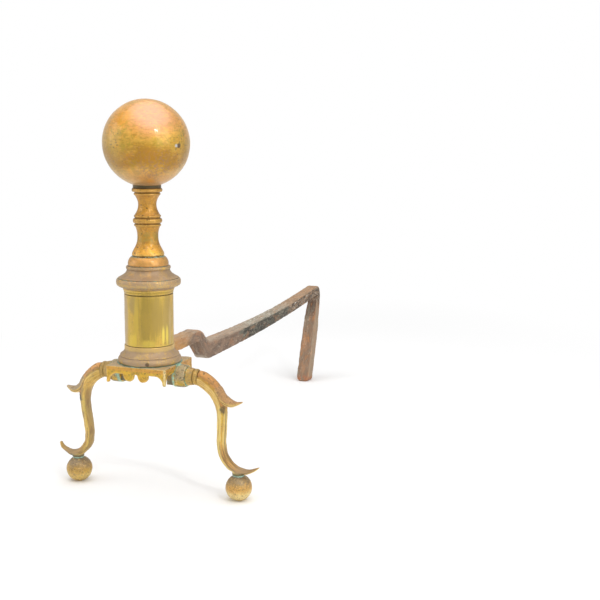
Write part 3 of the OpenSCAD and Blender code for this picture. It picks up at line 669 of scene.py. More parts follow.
class LegPlan:
    """Where a leg's pieces lie: its own frame runs out along the tenon and leans back."""

    root_end = 20.9
    lean = math.radians(6)
    ankle_h = 0.8
    ankle_r = 5.5
    foot_wear = 0.4
    tenon_r = 4.5
    tenon_l = 11.5

    def __init__(self, side):
        foot_low, foot_high = corners(f"{side}_foot")
        plinth_side = corners("plinth")[1][0]
        tenon_z = middle(f"{side}_leg_nut")[2]
        self.hand = -1 if side == "left" else 1
        self.root = np.array([self.hand * plinth_side, COLUMN_Y, tenon_z])
        self.crest = np.array([self.root[0], COLUMN_Y - 2, corners("plinth")[1][2]])
        self.foot_r = (foot_high[0] - foot_low[0]) / 2
        self.reach = abs(foot_low[0] + foot_high[0]) / 2 - plinth_side
        foot_z = self.foot_r - self.foot_wear
        self.length = (tenon_z - foot_z) / math.cos(self.lean)
        self.fall = self.length - self.ankle_h - self.foot_r

    def place(self, points):
        """Points of the leg's frame, leaned back, moved to the root and mirrored."""
        x, y, z = np.moveaxis(points, -1, 0)
        c, s = math.cos(self.lean), math.sin(self.lean)
        leaned = np.stack([self.hand * x, y * c - z * s, y * s + z * c], axis=-1)
        return leaned + self.root

    def unplace(self, points):
        """Points of the andiron's frame, back in the leg's own."""
        x, y, z = np.moveaxis(points - self.root, -1, 0)
        c, s = math.cos(self.lean), math.sin(self.lean)
        return np.stack([self.hand * x, y * c + z * s, z * c - y * s], axis=-1)

    def at(self, out, down):
        """A place given by shares of the way from the root to the foot, and of the fall."""
        return np.array([self.root_end + out * (self.reach - self.root_end), -down * self.fall])

    def toe(self, shank):
        """The toe's last stations: the left one has been bent up and worn blunt."""
        if self.hand > 0:
            return [(1.38, 0.951, shank * (0.44, 0.52)), (1.61, 0.905, np.array([1.4, 1.6]))]
        return [
            (1.35, 0.945, shank * (0.5, 0.6)),
            (1.47, 0.912, shank * (0.42, 0.5)),
            (1.52, 0.872, np.array([3.0, 3.6])),
        ]

    def spine(self, casting):
        """The leg's spine as rows of [out, up, thickness, width], from its root to its toe."""
        arch = np.array([casting.arch_t, casting.arch_w])
        shank = np.array([casting.shank_t, casting.shank_w])
        stations = [
            (-0.01, 0.009, arch * (0.92, 0.93)),
            (0.127, 0.023, arch * (0.96, 0.98)),
            (0.413, 0.11, arch * (0.91, 0.97)),
            (0.567, 0.22, arch * (0.79, 0.9)),
            (0.614, 0.345, shank * (1.24, 1.1)),
            (0.59, 0.52, shank * (1.16, 1.08)),
            (0.56, 0.68, shank * (1.1, 1.06)),
            (0.595, 0.8, shank * (1.06, 1.04)),
            (0.722, 0.885, shank * (1, 1)),
            (0.921, 0.947, shank * (0.86, 0.92)),
            (1.166, 0.968, shank * (0.68, 0.78)),
            *self.toe(shank),
        ]
        return np.array([[*self.at(out, down), *size] for out, down, size in stations])

    def spur(self, casting):
        """The knee spur's spine, from the outer half of the arch to its tip."""
        arch = np.array([casting.arch_t, casting.arch_w])
        shank = np.array([casting.shank_t, casting.shank_w])
        reach, blunt = (1.0, 1.0) if self.hand > 0 else (0.86, 1.45)
        reach = reach * casting.spur_l
        knee = self.at(0.595, 0.235)
        face = knee[0] + casting.shank_t / 2
        return np.array([
            [*self.at(0.505, 0.11), *(arch * (0.6, 0.9))],
            [*self.at(0.635, 0.193), *(arch * (0.62, 0.85))],
            [face + 0.08 * reach, knee[1] + 0.7, *(shank * (1.08, 1.08))],
            [face + 0.3 * reach, knee[1] - 1, *(shank * (0.9, 0.95))],
            [face + 0.5 * reach, knee[1] - 1.4, *(shank * (0.68, 0.76) * blunt ** 0.5)],
            [face + 0.72 * reach, knee[1] - 0.8, *(shank * (0.46, 0.46) * blunt)],
            [face + reach, knee[1] + 1, 1.2 * blunt ** 2, 1.6 * blunt ** 2],
        ])


# The leg's collars: a boss, a smaller collar and a ring, parted by gaps; step is how
# much smaller in radius the ring and the neck after it are
ROOT = {
    "boss_l": 9.4, "boss_r": 11, "small_l": 6.2, "small_r": 9, "gap": 0.5, "ring_w": 3.4,
    "step": 1.2,
}

LEG_VOXEL = 0.36  # size of the squares of a leg's skin


def root_outline():
    """The leg's collars, outwards from the plinth, each parted from the next by a groove."""
    boss_r, boss_l = ROOT["boss_r"], ROOT["boss_l"]
    small_r, gap = ROOT["small_r"], ROOT["gap"]
    start = boss_l + gap
    end = start + ROOT["small_l"]
    ring = end + gap
    ring_end = ring + ROOT["ring_w"]
    ring_r = small_r - ROOT["step"]
    neck_r = ring_r - ROOT["step"]
    return chain(
        [[0, 0], [boss_r - 0.5, 0], [boss_r, 0.5]],
        arc((small_r + 0.5, 0.4 * boss_l), boss_r - small_r - 0.5, 0.6 * boss_l, 0, 90),
        [[small_r - GROOVE_T, boss_l], [small_r - GROOVE_T, start]],
        [[small_r, start + NICK], [ring_r, end - NICK]],
        [[ring_r - GROOVE_T, end], [ring_r - GROOVE_T, ring]],
        bead(ring_r - 0.6, 0.6, ring + NICK, ring_end),
        [[neck_r, ring_end + NICK], [neck_r, LegPlan.root_end], [0, LegPlan.root_end]],
    )


def leg_piece(side, casting):
    """A leg: arch, shank, toe and knee spur in one cast skin, and turned collars at its root."""
    plan = LegPlan(side)
    section = soft_polygon(LEG_SECTION, 96, 0.012)
    spines = [spline(plan.spine(casting), 12), spline(plan.spur(casting), 12)]
    skin = Shape()
    for spine in spines:
        skin.add(plan.place(leg_sweep(spine, section)))
    ankle = np.array([[0, 0], [6, 0], [5.6, 4.1], [0, 4.1]])
    pad = lathe(ankle, (plan.reach, 0), 64)
    pad[..., 2] -= plan.fall
    skin.add(plan.place(pad))
    leg = skin.store(f"{side}_leg_skin")
    remesh(leg, LEG_VOXEL)
    move_points(leg, smoothed(leg, 3))
    mark_sweep(leg, plan.unplace(mesh_points(leg)), spines)
    collars = Shape().add(plan.place(lathe_out(evenly(root_outline(), 0.2))))
    r, inner = plan.tenon_r, -plan.tenon_l
    tenon = np.array([[0, inner], [r, inner], [r, 1], [0, 1]])
    collars.add(plan.place(lathe_out(evenly(tenon, 0.5), 48)))
    root = collars.store(f"{side}_leg_root")
    move_points(root, smoothed(root, 1))
    out, aside, up = plan.unplace(mesh_points(root)).T
    store_marks(root, crown=up / 8, flank=aside / 8, along=out, spur=out * 0)
    mark_relief(leg, rounds=16)
    mark_relief(root, rounds=5)
    weather(leg, casting.cast_waves, size=9, seed=31 + plan.hand)
    return join([leg, root], f"cast_{side}_leg")


def foot_piece(side, casting):
    """A ball foot: a circle and its seat carried round the leg's line, cut by the floor."""
    plan = LegPlan(side)
    radius = plan.foot_r
    seat_r = plan.ankle_r
    seat_z = radius + plan.ankle_h
    top = math.degrees(math.acos(seat_r / radius))
    outline = chain(
        arc((0, 0), radius, radius, -90, top, 60),
        [[seat_r, seat_z], [2.5, seat_z], [2.5, seat_z + 6], [0, seat_z + 6]],
    )
    points = lathe(evenly(outline, 0.35), (plan.reach, 0), 128)
    points[..., 2] -= plan.length
    placed = plan.place(points)
    placed[..., 2] = np.maximum(placed[..., 2], 0)
    foot = Shape().add(placed).store(f"ball_foot_{side}")
    mark_relief(foot)
    weather(foot, casting.cast_waves * 0.6, size=9, seed=57 + plan.hand)
    flat = mesh_points(foot)
    flat[:, 2] = np.where(flat[:, 2] < 0.25, 0, flat[:, 2])
    move_points(foot, flat)
    return foot


# ---- billet bar ----

def rounded_line(corner_points, radius, steps=24):
    """A line whose corners are arcs of one radius, which touch both of their sides."""
    line = [corner_points[0]]
    for a, b, c in zip(corner_points[:-2], corner_points[1:-1], corner_points[2:]):
        u, v = unit(b - a), unit(c - b)
        hand = np.sign(u[0] * v[1] - u[1] * v[0])
        turn = hand * math.acos(np.clip(u @ v, -1, 1))
        side = np.array([-u[1], u[0]])
        start = b - u * radius * math.tan(abs(turn) / 2)
        centre = start + side * hand * radius
        angles = turn * np.linspace(0, 1, steps + 1)
        spokes = np.stack([
            side[0] * np.cos(angles) - side[1] * np.sin(angles),
            side[0] * np.sin(angles) + side[1] * np.cos(angles),
        ], axis=1)
        line.extend(centre - spokes * hand * radius)
    line.append(corner_points[-1])
    return np.array(line)


# The bar's levels and lengths: z is its middle at the foot of the step, rise how much
# higher it ends at the rear bend, and reach how far behind the column its foot stands
BAR = {
    "z": 118.6, "rise": 8, "sag": 5.2, "step_start": 103, "step_run": 24, "taper_end": 370,
    "reach": 489, "lean": math.radians(21.5), "bend_r": 1.5,
}


def bar_path(casting):
    """Middle of the bar as [back, up]: tongue, step, long sagging back and rear leg."""
    tongue_z = corners("plinth")[1][2] + casting.tongue_t / 2
    step_top = np.array([BAR["step_start"], tongue_z])
    step_foot = np.array([BAR["step_start"] + BAR["step_run"], BAR["z"]])
    bend_z = BAR["z"] + BAR["rise"]
    bend = np.array([BAR["reach"] + bend_z * math.tan(BAR["lean"]), bend_z])
    t = np.linspace(0, 1, 13)[1:-1, None]
    back = step_foot + (bend - step_foot) * t - BAR["sag"] * np.sin(np.pi * t) * [0, 1]
    heel_r = BAR["bend_r"] + casting.heel_t / 2
    rear_r = BAR["bend_r"] + casting.bar_t / 2
    front = rounded_line(np.array([[0, tongue_z], step_top, step_foot, back[0]]), heel_r)
    rear = rounded_line(np.array([back[-1], bend, [BAR["reach"], 0]]), rear_r)
    return np.concatenate([front[:-1], back, rear[1:]])


def bar_sizes(path, casting):
    """Thickness and width along the bar.

    It swells over the step, draws down to the rear bend, and is spread both ways below it.
    """
    spread_z = 0.6 * BAR["z"]
    neck_z = BAR["z"] - casting.heel_t / 2 - 4
    step_end = BAR["step_start"] + BAR["step_run"]
    thick = np.interp(
        path[:, 0], [BAR["step_start"], step_end, BAR["taper_end"]],
        [casting.tongue_t, casting.heel_t, casting.bar_t],
    )
    on_leg = path[:, 0] > BAR["reach"]
    on_leg &= np.arange(len(path)) > np.argmax(path[:, 0])
    leg_t = np.interp(path[:, 1], [spread_z, neck_z + 9], [casting.rear_leg_t, casting.bar_t])
    leg_w = np.interp(path[:, 1], [spread_z, neck_z], [casting.rear_leg_w, casting.bar_w])
    return np.where(on_leg, leg_t, thick), np.where(on_leg, leg_w, casting.bar_w)


ROW_STEP = 0.8  # distance between the bar's rows
ROW_POINTS = 80  # points round a row
SQUARENESS = 12  # n of the section
BEND_WORN = 0.18  # share of the outer half that wear has taken off at the rear bend
BEND_WORN_L = 9  # how far along the bar that wear reaches
MITRE_L = 14  # length of the end whose rows are mitred
WORN = 0.3  # share that wear has taken off the very end
WORN_L = 6  # length of the worn end
EYE_R = 11  # outer radius of the wall round the rod


def bar_rows(path, left, thick, wide):
    """A rounded square carried along the bar's path, with left the length still to go.

    The section is a superellipse, |a|^n + |b|^n = 1, whose outer half is worn thinner at
    the rear bend. The last rows are mitred, so that the foot stands flat.
    """
    heading = np.gradient(path, axis=0)
    even = [np.convolve(heading[:, k], np.ones(3) / 3, "valid") for k in range(2)]
    heading[1:-1] = np.stack(even, axis=1)
    heading /= np.linalg.norm(heading, axis=1, keepdims=True)
    a = np.linspace(0, 2 * np.pi, ROW_POINTS, endpoint=False) + np.pi / ROW_POINTS
    across, upwards = (np.sign(s) * np.abs(s) ** (2 / SQUARENESS) for s in (np.cos(a), np.sin(a)))
    x = across * wide[:, None] / 2
    lift = upwards * thick[:, None] / 2
    near_bend = np.exp(-(((left - left[np.argmax(path[:, 0])]) / BEND_WORN_L) ** 2))[:, None]
    lift = lift * np.where(lift > 0, 1 - BEND_WORN * near_bend, 1)
    mitre = np.clip(1 - left / MITRE_L, 0, 1)[:, None]
    slide = mitre * (heading[-1, 0] * lift[-1]) / heading[-1, 1]
    y = path[:, 0:1] - heading[:, 1:2] * lift - slide * heading[-1, 0]
    z = path[:, 1:2] + heading[:, 0:1] * lift - slide * heading[-1, 1]
    return np.stack([x, y + COLUMN_Y, z], axis=-1)


def capped(rows):
    """Rows of a closed surface, with rings that shrink to the middle of both its ends."""
    shares = np.array([0, 0.5, 0.86])[:, None, None]
    first, last = (row.mean(axis=1, keepdims=True) for row in (rows[:1], rows[-1:]))
    start = first + (rows[:1] - first) * shares
    end = last + (rows[-1:] - last) * shares[::-1]
    return np.concatenate([start, rows, end])


def bar_piece(casting):
    """The bar, whose corners are worn near the rear foot, and the eye for the rod."""
    path = evenly(bar_path(casting), ROW_STEP)
    left = np.cumsum(np.linalg.norm(np.diff(path[::-1], axis=0), axis=1))
    left = np.concatenate([[0], left])[::-1]
    worn = 1 - WORN * np.clip(1 - left / WORN_L, 0, 1) ** 2
    thick, wide = (size * worn for size in bar_sizes(path, casting))
    bar = Shape().add(capped(bar_rows(path, left, thick, wide)))
    low = corners("plinth")[1][2]
    high = low + casting.tongue_t
    eye = np.array([[ROD_HOLE_R, low], [EYE_R, low], [EYE_R, high], [ROD_HOLE_R, high]])
    bar.add(lathe(evenly(eye, ROW_STEP), (0, COLUMN_Y), 64), close_rows=True)
    piece = bar.store("forged_billet_bar")
    mark_relief(piece, rounds=14)
    back_up = mesh_points(piece)[:, [1, 0, 2]] - [COLUMN_Y, 0, 0]
    stations = np.concatenate([path, thick[:, None], wide[:, None]], axis=1)
    mark_sweep(piece, back_up, [stations[::3]])
    forge(piece, casting.hammer_marks)
    return piece


def forge(piece, depth):
    """Hammer marks and fire loss: long shallow hollows, pits, and bites out of the edges."""
    points = mesh_points(piece)
    normals = mesh_normals(piece)
    relief = np.empty(len(points))
    piece.data.attributes["relief"].data.foreach_get("value", relief)
    blows = -np.abs(waves(points, 24, seed=71)) * 0.6 + 0.25 * waves(points, 9, seed=72)
    bites = -np.clip(waves(points, 13, seed=73) - 0.2, 0, 2) * np.clip(relief / 0.3, 0, 1)
    pits = -np.clip(waves(points, 5, seed=74) - 1.1, 0, 1)
    lift = depth * (blows + 1.5 * bites + 0.8 * pits)
    lift *= np.clip(points[:, 2] / 4, 0, 1)
    move_points(piece, points + normals * lift[:, None])


# ---- shader maths ----

class Value:
    """A number on a socket: arithmetic on it adds Math nodes."""

    # NumPy's numbers leave arithmetic with a Value to the Value
    __array_ufunc__ = None

    def __init__(self, graph, socket):
        self.graph = graph
        self.socket = socket

    def out(self, name):
        """Another output of the same node."""
        return Value(self.graph, self.socket.node.outputs[name])

    def math(self, operation, *given):
        """A Math node on the given values and numbers."""
        return self.graph.node("ShaderNodeMath", given, operation=operation)

    def __add__(self, other):
        return self.math("ADD", self, other)

    def __radd__(self, other):
        return self.math("ADD", other, self)

    def __sub__(self, other):
        return self.math("SUBTRACT", self, other)

    def __rsub__(self, other):
        return self.math("SUBTRACT", other, self)

    def __mul__(self, other):
        return self.math("MULTIPLY", self, other)

    def __rmul__(self, other):
        return self.math("MULTIPLY", other, self)

    def __abs__(self):
        return self.math("ABSOLUTE", self)

    def most(self, other):
        """The larger of two values."""
        return self.math("MAXIMUM", self, other)

    def least(self, other):
        """The smaller of two values."""
        return self.math("MINIMUM", self, other)

    def within(self, start, end):
        """0 up to start, 1 from end on, and a smooth step between; start may be the larger."""
        return self.graph.node(
            "ShaderNodeMapRange", {"Value": self, "From Min": start, "From Max": end},
            interpolation_type="SMOOTHSTEP",
        )

    def near(self, level, inner, outer):
        """1 closer than inner to a level, 0 beyond outer, and a smooth step between."""
        return abs(self - level).within(outer, inner)


# Places of the colour sockets among the Mix node's inputs and outputs
MIX_A, MIX_B, MIX_RESULT = 6, 7, 2


class Graph:
    """Nodes of a material or a world: colour and dull are what has been painted so far."""

    def __init__(self, owner):
        owner.use_nodes = True
        self.owner = owner
        self.tree = owner.node_tree
        self.tree.nodes.clear()
        self.colour = self.dull = None

    def node(self, kind, inputs=(), **options):
        """Adds a node: its settings come first, then values or links for its sockets."""
        node = self.tree.nodes.new(kind)
        for key, setting in options.items():
            setattr(node, key, setting)
        for key, given in inputs.items() if isinstance(inputs, dict) else enumerate(inputs):
            if isinstance(given, Value):
                self.tree.links.new(given.socket, node.inputs[key])
            else:
                node.inputs[key].default_value = given
        return Value(self, node.outputs[0]) if node.outputs else None

    @cached_property
    def place(self):
        """The object coordinates, in metres."""
        return self.node("ShaderNodeTexCoord").out("Object")

    def axes(self):
        """The three object coordinates, in millimetres."""
        split = self.node("ShaderNodeSeparateXYZ", [self.place])
        return [split.out(axis) * (1 / MM) for axis in "XYZ"]

    def attribute(self, name):
        """A number stored on the mesh."""
        return self.node("ShaderNodeAttribute", attribute_name=name).out("Fac")

    def mapped(self, scale=(1, 1, 1), turn=(0, 0, 0), centre=(0, 0, 0)):
        """Object coordinates, moved so that centre is the origin, stretched and turned."""
        offset = [self.place, tuple(c * MM for c in centre)]
        moved = self.node("ShaderNodeVectorMath", offset, operation="SUBTRACT")
        return self.node("ShaderNodeMapping", {"Vector": moved, "Rotation": turn, "Scale": scale})

    def distance(self, place, scale=(1, 1, 1)):
        """Distance from a place, in millimetres, after each axis has been stretched."""
        offset = [self.mapped(scale, centre=place)]
        return self.node("ShaderNodeVectorMath", offset, operation="LENGTH").out("Value") * (1 / MM)

    def noise(self, size, detail=3.0, roughness=0.55, distortion=0.0, vector=None):
        """Cloudy noise from 0 to 1, whose clouds are about size millimetres."""
        return self.node("ShaderNodeTexNoise", {
            "Vector": vector or self.place, "Scale": 1 / (size * MM), "Detail": detail,
            "Roughness": roughness, "Distortion": distortion,
        })

    def dots(self, size, inner, outer):
        """1 at scattered points in cells of size millimetres, 0 from outer cells away."""
        cells = {"Vector": self.place, "Scale": 1 / (size * MM)}
        return self.node("ShaderNodeTexVoronoi", cells).within(outer, inner)

    def mix(self, factor, *shades):
        """The second colour over the first: a shade is a Value, numbers or a setting's name."""
        inputs = {0: factor}
        for key, shade in zip((MIX_A, MIX_B), shades):
            if isinstance(shade, str):
                shade = getattr(settings("colours"), shade)
            inputs[key] = shade if isinstance(shade, Value) else (*shade, 1)
        return self.node("ShaderNodeMix", inputs, data_type="RGBA").out(MIX_RESULT)

    def lay(self, mask, shade):
        """Lays a shade over the colour so far."""
        self.colour = self.mix(mask, self.colour, shade)

    def dim(self, *masks):
        """Makes the surface at least as dull as each of the masks."""
        for mask in masks:
            self.dull = self.dull.most(mask)

    def corrode(self, mask, strength=1.0):
        """Lays green corrosion over the brass, in crumbs, where the mask is near 1."""
        cover = (self.noise(1.9, 5, 0.72) + mask * 0.56).within(0.9, 1.03) * strength
        crumbs = self.noise(0.9, 3).within(0.52, 0.7)
        self.lay(cover, self.mix(crumbs, "verdigris", (0.17, 0.34, 0.27)))
        self.dim(cover)

    def surface(self, roughness, metallic, height, bump_mm, **inputs):
        """The material, with the colour so far: a height in parts of bump_mm makes its bumps."""
        bump = {"Height": height, "Distance": bump_mm * MM, "Strength": 1.0}
        shader = self.node("ShaderNodeBsdfPrincipled", {
            "Base Color": self.colour, "Roughness": roughness, "Metallic": metallic,
            "Normal": self.node("ShaderNodeBump", bump), **inputs,
        })
        self.node("ShaderNodeOutputMaterial", [shader])
        return self.owner


def new_material(name):
    """The nodes of a new material."""
    return Graph(bpy.data.materials.new(name))


def level_streaks(g):
    """Coordinates that squeeze everything but height, so that noise runs round the column."""
    return g.mapped((0.4, 0.4, 1), centre=(0, COLUMN_Y, 0))


def upright_streaks(g):
    """Coordinates that squeeze height, so that noise runs in upright streaks."""
    return g.mapped((1, 1, 0.06), centre=(0, COLUMN_Y, 0))


def swept_streaks(g, stretch=0.3, finesse=6.0):
    """Coordinates that follow a swept piece, drawn out along it."""
    scales = {"along": stretch, "crown": finesse, "flank": finesse}
    return g.node(
        "ShaderNodeCombineXYZ", [g.attribute(mark) * (scale * MM) for mark, scale in scales.items()]
    )


# ---- materials ----

def brass(
    name, paint=None, warmth=0.5, tarnish=0.45, streaks=None, bloom="umber", rough_mm=0.16,
    sheen=0.0,
):
    """Old brass: clouds of gold, orange and olive under brown patina, with pits and scratches.

    warmth leans the metal from olive to orange, tarnish is the share under patina, whose
    colour is bloom. streaks, if given, makes the coordinates of patches and blotches,
    rough_mm is how deep the surface's unevenness goes, and sheen is the pale bloom of
    dust that shows at a slant. paint, if given, lays the piece's own stains, and on some
    pieces painted light and shade, over it.
    """
    g = new_material(name)
    relief = g.attribute("relief")
    clouds = g.noise(24, 3, 0.55, 0.6) - 0.5
    speckle = g.noise(1.7, 4, 0.7)
    lean = clouds * 1.5 + (speckle - 0.5) * 0.5 + warmth
    g.colour = g.mix(lean.within(0.15, 0.5), "olive", "gold")
    g.lay(lean.within(0.45, 0.85), "orange")
    patches = g.noise(7, 5, 0.66, 0.5)
    where = None
    if streaks:
        where = streaks(g)
        patches = patches * 0.4 + g.noise(2.6, 5, 0.65, vector=where) * 0.6
    rubbed = relief.within(0.02, 0.14)
    thickness = patches + (speckle - 0.5) * 0.5 + clouds * 0.3 + tarnish * 0.7 - rubbed * 0.3
    cover = thickness.within(0.62, 1.02)
    g.lay(cover * 0.72, bloom)
    freckles = g.dots(2.3, 0.12, 0.36) * g.noise(6, 3).within(0.46, 0.6)
    pits = g.dots(5.2, 0.08, 0.19) * g.noise(15, 2).within(0.42, 0.55)
    blotches = g.noise(3.2, 5, 0.74, 0.3, where).within(0.53, 0.66)
    g.lay(blotches * 0.5, (0.34, 0.18, 0.04))
    g.lay(g.noise(1.9, 4, 0.74).within(0.55, 0.68) * 0.38, (0.98, 0.68, 0.16))
    seams = (relief.within(-0.02, -0.1) * 0.85).most(freckles * 0.6).most(pits * 0.75)
    g.lay(seams * 0.9, "grime")
    g.lay(rubbed * 0.45, (0.95, 0.66, 0.20))
    g.dull = cover.most(seams).most(blotches * 0.6)
    if paint:
        paint(g)
    across = g.noise(0.5, 3, 0.6, vector=g.mapped((1, 1, 0.05), (0.5, 0.3, 0.9)))
    down = g.noise(0.5, 3, 0.6, vector=g.mapped((1, 0.05, 1), (0.9, 0.2, 0.4)))
    scratches = abs(across - 0.5).within(0.0, 0.035).least(abs(down - 0.5).within(0.0, 0.03))
    height = patches * 0.4 + speckle * 0.3 - pits * 0.9 - freckles * 0.6 + scratches * 0.25
    return g.surface(g.dull * 0.16 + 0.4 + speckle * 0.08, 0.94 - g.dull * 0.34, height, rough_mm, **{
        "Coat Weight": 0.55 - g.dull * 0.45, "Coat Roughness": 0.13, "Coat IOR": 1.55,
        "Sheen Weight": sheen, "Sheen Roughness": 0.35, "Sheen Tint": (1.0, 0.84, 0.62, 1),
    })


def iron(name, paint=None, scaly=0.5, fresh=0.3):
    """Wrought iron from a fireplace: brown rust, grey-green fire scale, ash and orange blooms.

    paint, if given, takes the graph and coordinates drawn out along the bar, lays its
    stains and its painted light, and returns how scaly the iron is and how sooty.
    """
    g = new_material(name)
    relief = g.attribute("relief")
    drawn = swept_streaks(g, 0.3, 8) if paint else g.mapped((1, 0.3, 1))
    patches = g.noise(6, 6, 0.7, 0.5, drawn)
    grain = g.noise(1.3, 5, 0.74)
    g.colour = g.mix(patches.within(0.38, 0.62), (0.17, 0.11, 0.07), "rust")
    sooty = 0.0
    if paint:
        scaly, sooty = paint(g, drawn)
    scale = (g.noise(34, 4, 0.6, 0.8, drawn) * 0.9 + patches * 1.1 + scaly).within(1.5, 1.66)
    g.lay(scale * 0.9, g.mix(patches.within(0.4, 0.6), (0.045, 0.048, 0.038), "scale"))
    bloom = (g.noise(9, 5, 0.7, 0.4, drawn) + fresh * 0.3).within(0.6, 0.72)
    g.lay(bloom * 0.45, "fresh_rust")
    rubbed = relief.within(0.03, 0.25) * g.noise(8, 4, 0.66, 0.3, drawn).within(0.36, 0.56)
    rubbed = rubbed * g.axes()[2].within(8, 22)
    dust = (g.noise(3.4, 6, 0.76, 0.3, drawn) + (grain - 0.5) * 0.4).within(0.54, 0.64)
    g.lay((rubbed * 0.7).most(dust * 0.4), "ash")
    pits = g.dots(4.0, 0.06, 0.24) * g.noise(9, 3).within(0.5, 0.62)
    dark = pits.most(relief.within(-0.05, -0.3)).most(sooty)
    g.lay(dark * 0.75, (0.028, 0.025, 0.021))
    height = patches + grain * 0.3 - dark * 0.5
    return g.surface(0.66 + grain * 0.24 - scale * 0.16, scale * 0.25 + 0.06, height, 0.5)


def paint_ball(g):
    """The ball's coppery crown, olive belt, darker underside and paler bottom, and one old dent.

    The belt and underside are partly tarnish and partly painted shade, and the bottom is partly
    a painted reflection of the floor. A pinkish bloom is painted where the highlight falls, a
    painted shade dims the left side, and the dent is paint alone: a painted shade and a painted
    highlight.
    """
    low, high = corners("ball")
    radius = (high[0] - low[0]) / 2
    centre = np.array([0, COLUMN_Y, high[2] - radius])
    x, y, z = g.axes()
    height = (z - centre[2]) * (1 / radius)
    # how far across the ball, from the left of the photograph to its right
    aside = (x * 0.893 + (y - COLUMN_Y) * 0.449) * (1 / radius)
    wander = (g.noise(26, 4, 0.55, 0.5) - 0.5) * 0.9
    ragged = (g.noise(2.0, 3, 0.6) - 0.5) * 2.4

    def spot(way, inner, outer, edge):
        """1 near the place on the ball that lies this way from its centre."""
        return (g.distance(centre + radius * unit(way)) + edge).within(outer, inner)

    crown = (height + wander).within(-0.1, 0.5)
    g.lay(crown * 0.75, (0.84, 0.35, 0.035))
    # pinkish bloom painted where the top lamp's highlight falls, tinting it: partly painted highlight
    highlight_bloom = spot((0.47, -0.63, 0.62), 9, 30, wander * 20)
    g.lay(highlight_bloom * 0.8, (0.77, 0.38, 0.27))
    # olive belt: partly tarnish, partly painted shade for the darker room the ball reflects there
    belt = (height + wander * 0.8).near(-0.12, 0.1, 0.45)
    g.lay(belt * 0.6, (0.56, 0.31, 0.02))
    # darker lower half: partly tarnish, partly painted shade of the same kind
    under = (wander - height).within(0.0, 0.35) * (wander * 0.7 - height).within(0.75, 0.4)
    g.lay(under * 0.85, (0.43, 0.205, 0.008))
    grain = g.noise(2.0, 5, 0.76, vector=level_streaks(g))
    g.lay(grain.within(0.5, 0.62) * 0.55 * (1 - highlight_bloom * 0.7), (0.42, 0.21, 0.03))
    g.lay(grain.within(0.48, 0.36) * 0.5, (0.98, 0.60, 0.11))
    clouds = g.noise(11, 5, 0.68, 0.6)
    g.lay(clouds.within(0.53, 0.61) * (1 - highlight_bloom) * 0.55, (0.48, 0.33, 0.035))
    g.lay(clouds.within(0.46, 0.36) * (1 - crown) * 0.5, (0.80, 0.36, 0.03))
    g.lay(under * 0.5, (0.46, 0.22, 0.01))
    # paler bottom: partly its own tone, partly a painted reflection of the pale floor
    bottom = (wander * 0.4 - height).within(0.5, 0.8)
    g.lay(bottom * 0.55, (0.64, 0.35, 0.14))
    # painted shade on the ball's left side, dimming the pale sheen there
    g.lay(spot((-0.8, -0.6, -0.15), 16, 38, wander * 16) * 0.4, (0.50, 0.34, 0.10))
    sides = abs(aside - 0.05).within(0.4, 0.7) * (1 - crown * 0.6)
    pepper = g.dots(2.5, 0.12, 0.42) * sides * g.noise(6, 4, 0.66).within(0.44, 0.54)
    spatter = spot((0.54, -0.66, -0.52), 8, 24, 0).most(under * 0.5)
    spatter = spatter * g.noise(2.6, 5, 0.74).within(0.46, 0.58)
    g.lay(spatter * 0.6, (0.36, 0.20, 0.14))
    g.lay(pepper * 0.8, (0.13, 0.11, 0.07))
    g.lay(spot((0.47, -0.84, -0.25), 5, 13, wander * 14) * 0.5, (0.52, 0.24, 0.015))
    for way, size in (((-0.16, -0.80, 0.58), 11), ((0.29, -0.43, -0.86), 7)):
        g.lay(spot(way, size * 0.3, size, wander * 14) * 0.55, (0.78, 0.33, 0.01))
    # the dent is drawn in paint alone: a dark spot of painted shade, and beside it a pale painted
    # highlight on its rim
    dent = spot((0.955, -0.292, -0.047), 1.7, 2.6, ragged)
    g.lay(dent * 0.85, (0.06, 0.045, 0.045))
    g.lay(spot((0.925, -0.375, -0.047), 1.0, 2.0, ragged) * 0.75, (0.72, 0.76, 0.80))
    # painted shadow low on the ball, in the seam where it sits on the shaft
    neck = height.within(-0.945, -0.965)
    g.lay(neck * 0.92, (0.05, 0.05, 0.025))
    g.dim(spatter * 0.7, under * 0.5, pepper * 0.6, dent, neck * 0.9)


def paint_shaft(g):
    """Dark grooves, teal crumbs round the shaft's foot and an olive cloud on its lower neck.

    The dark ring at the shaft's very top is a painted shadow of the ball that sits on it.
    """
    low, high = corners("shaft")
    turning = sizes("turning")
    up = g.axes()[2] - low[2]
    top = high[2] - low[2]
    top_groove = top - turning.top_ring_h - GROOVE_W / 2
    upper_groove = top_groove - GROOVE_W - 2 * LIP_H - turning.upper_neck_h
    lower_groove = upper_groove - turning.middle_ring_h - GROOVE_W
    # dark rings at the grooves; the one at the top is a painted shadow of the ball, which sits there
    for level in (top, top_groove, upper_groove, lower_groove):
        g.lay(up.near(level, 0.35, 1.15) * 0.92, (0.045, 0.05, 0.025))
    foot = up.within(1.6, 0.2)
    mouth = up.near(9.2, 0.3, 1.5)
    g.lay(foot.most(mouth * 0.7) * 0.75, (0.05, 0.065, 0.045))
    g.lay(up.within(13, 22) * 0.6, (0.50, 0.255, 0.04))
    g.lay(g.noise(3.4, 5, 0.74, 0.4).within(0.5, 0.62) * 0.5, (0.38, 0.19, 0.045))
    g.lay(g.noise(2.6, 5, 0.76, 0.4).within(0.55, 0.63) * 0.45, (0.96, 0.56, 0.16))
    g.lay(up.within(9, 7.5) * 0.55, (0.62, 0.29, 0.11))
    pocks = g.dots(4.6, 0.1, 0.24) * g.noise(9, 2).within(0.42, 0.5)
    g.lay(pocks * 0.8, (0.10, 0.07, 0.03))
    cloud = up.near(27.0, 2, 8) * g.noise(6, 4, 0.6).within(0.4, 0.6)
    g.lay(cloud * 0.6, (0.40, 0.30, 0.07))
    g.dim(foot)
    g.corrode(foot.most(mouth * 0.8), 0.7)


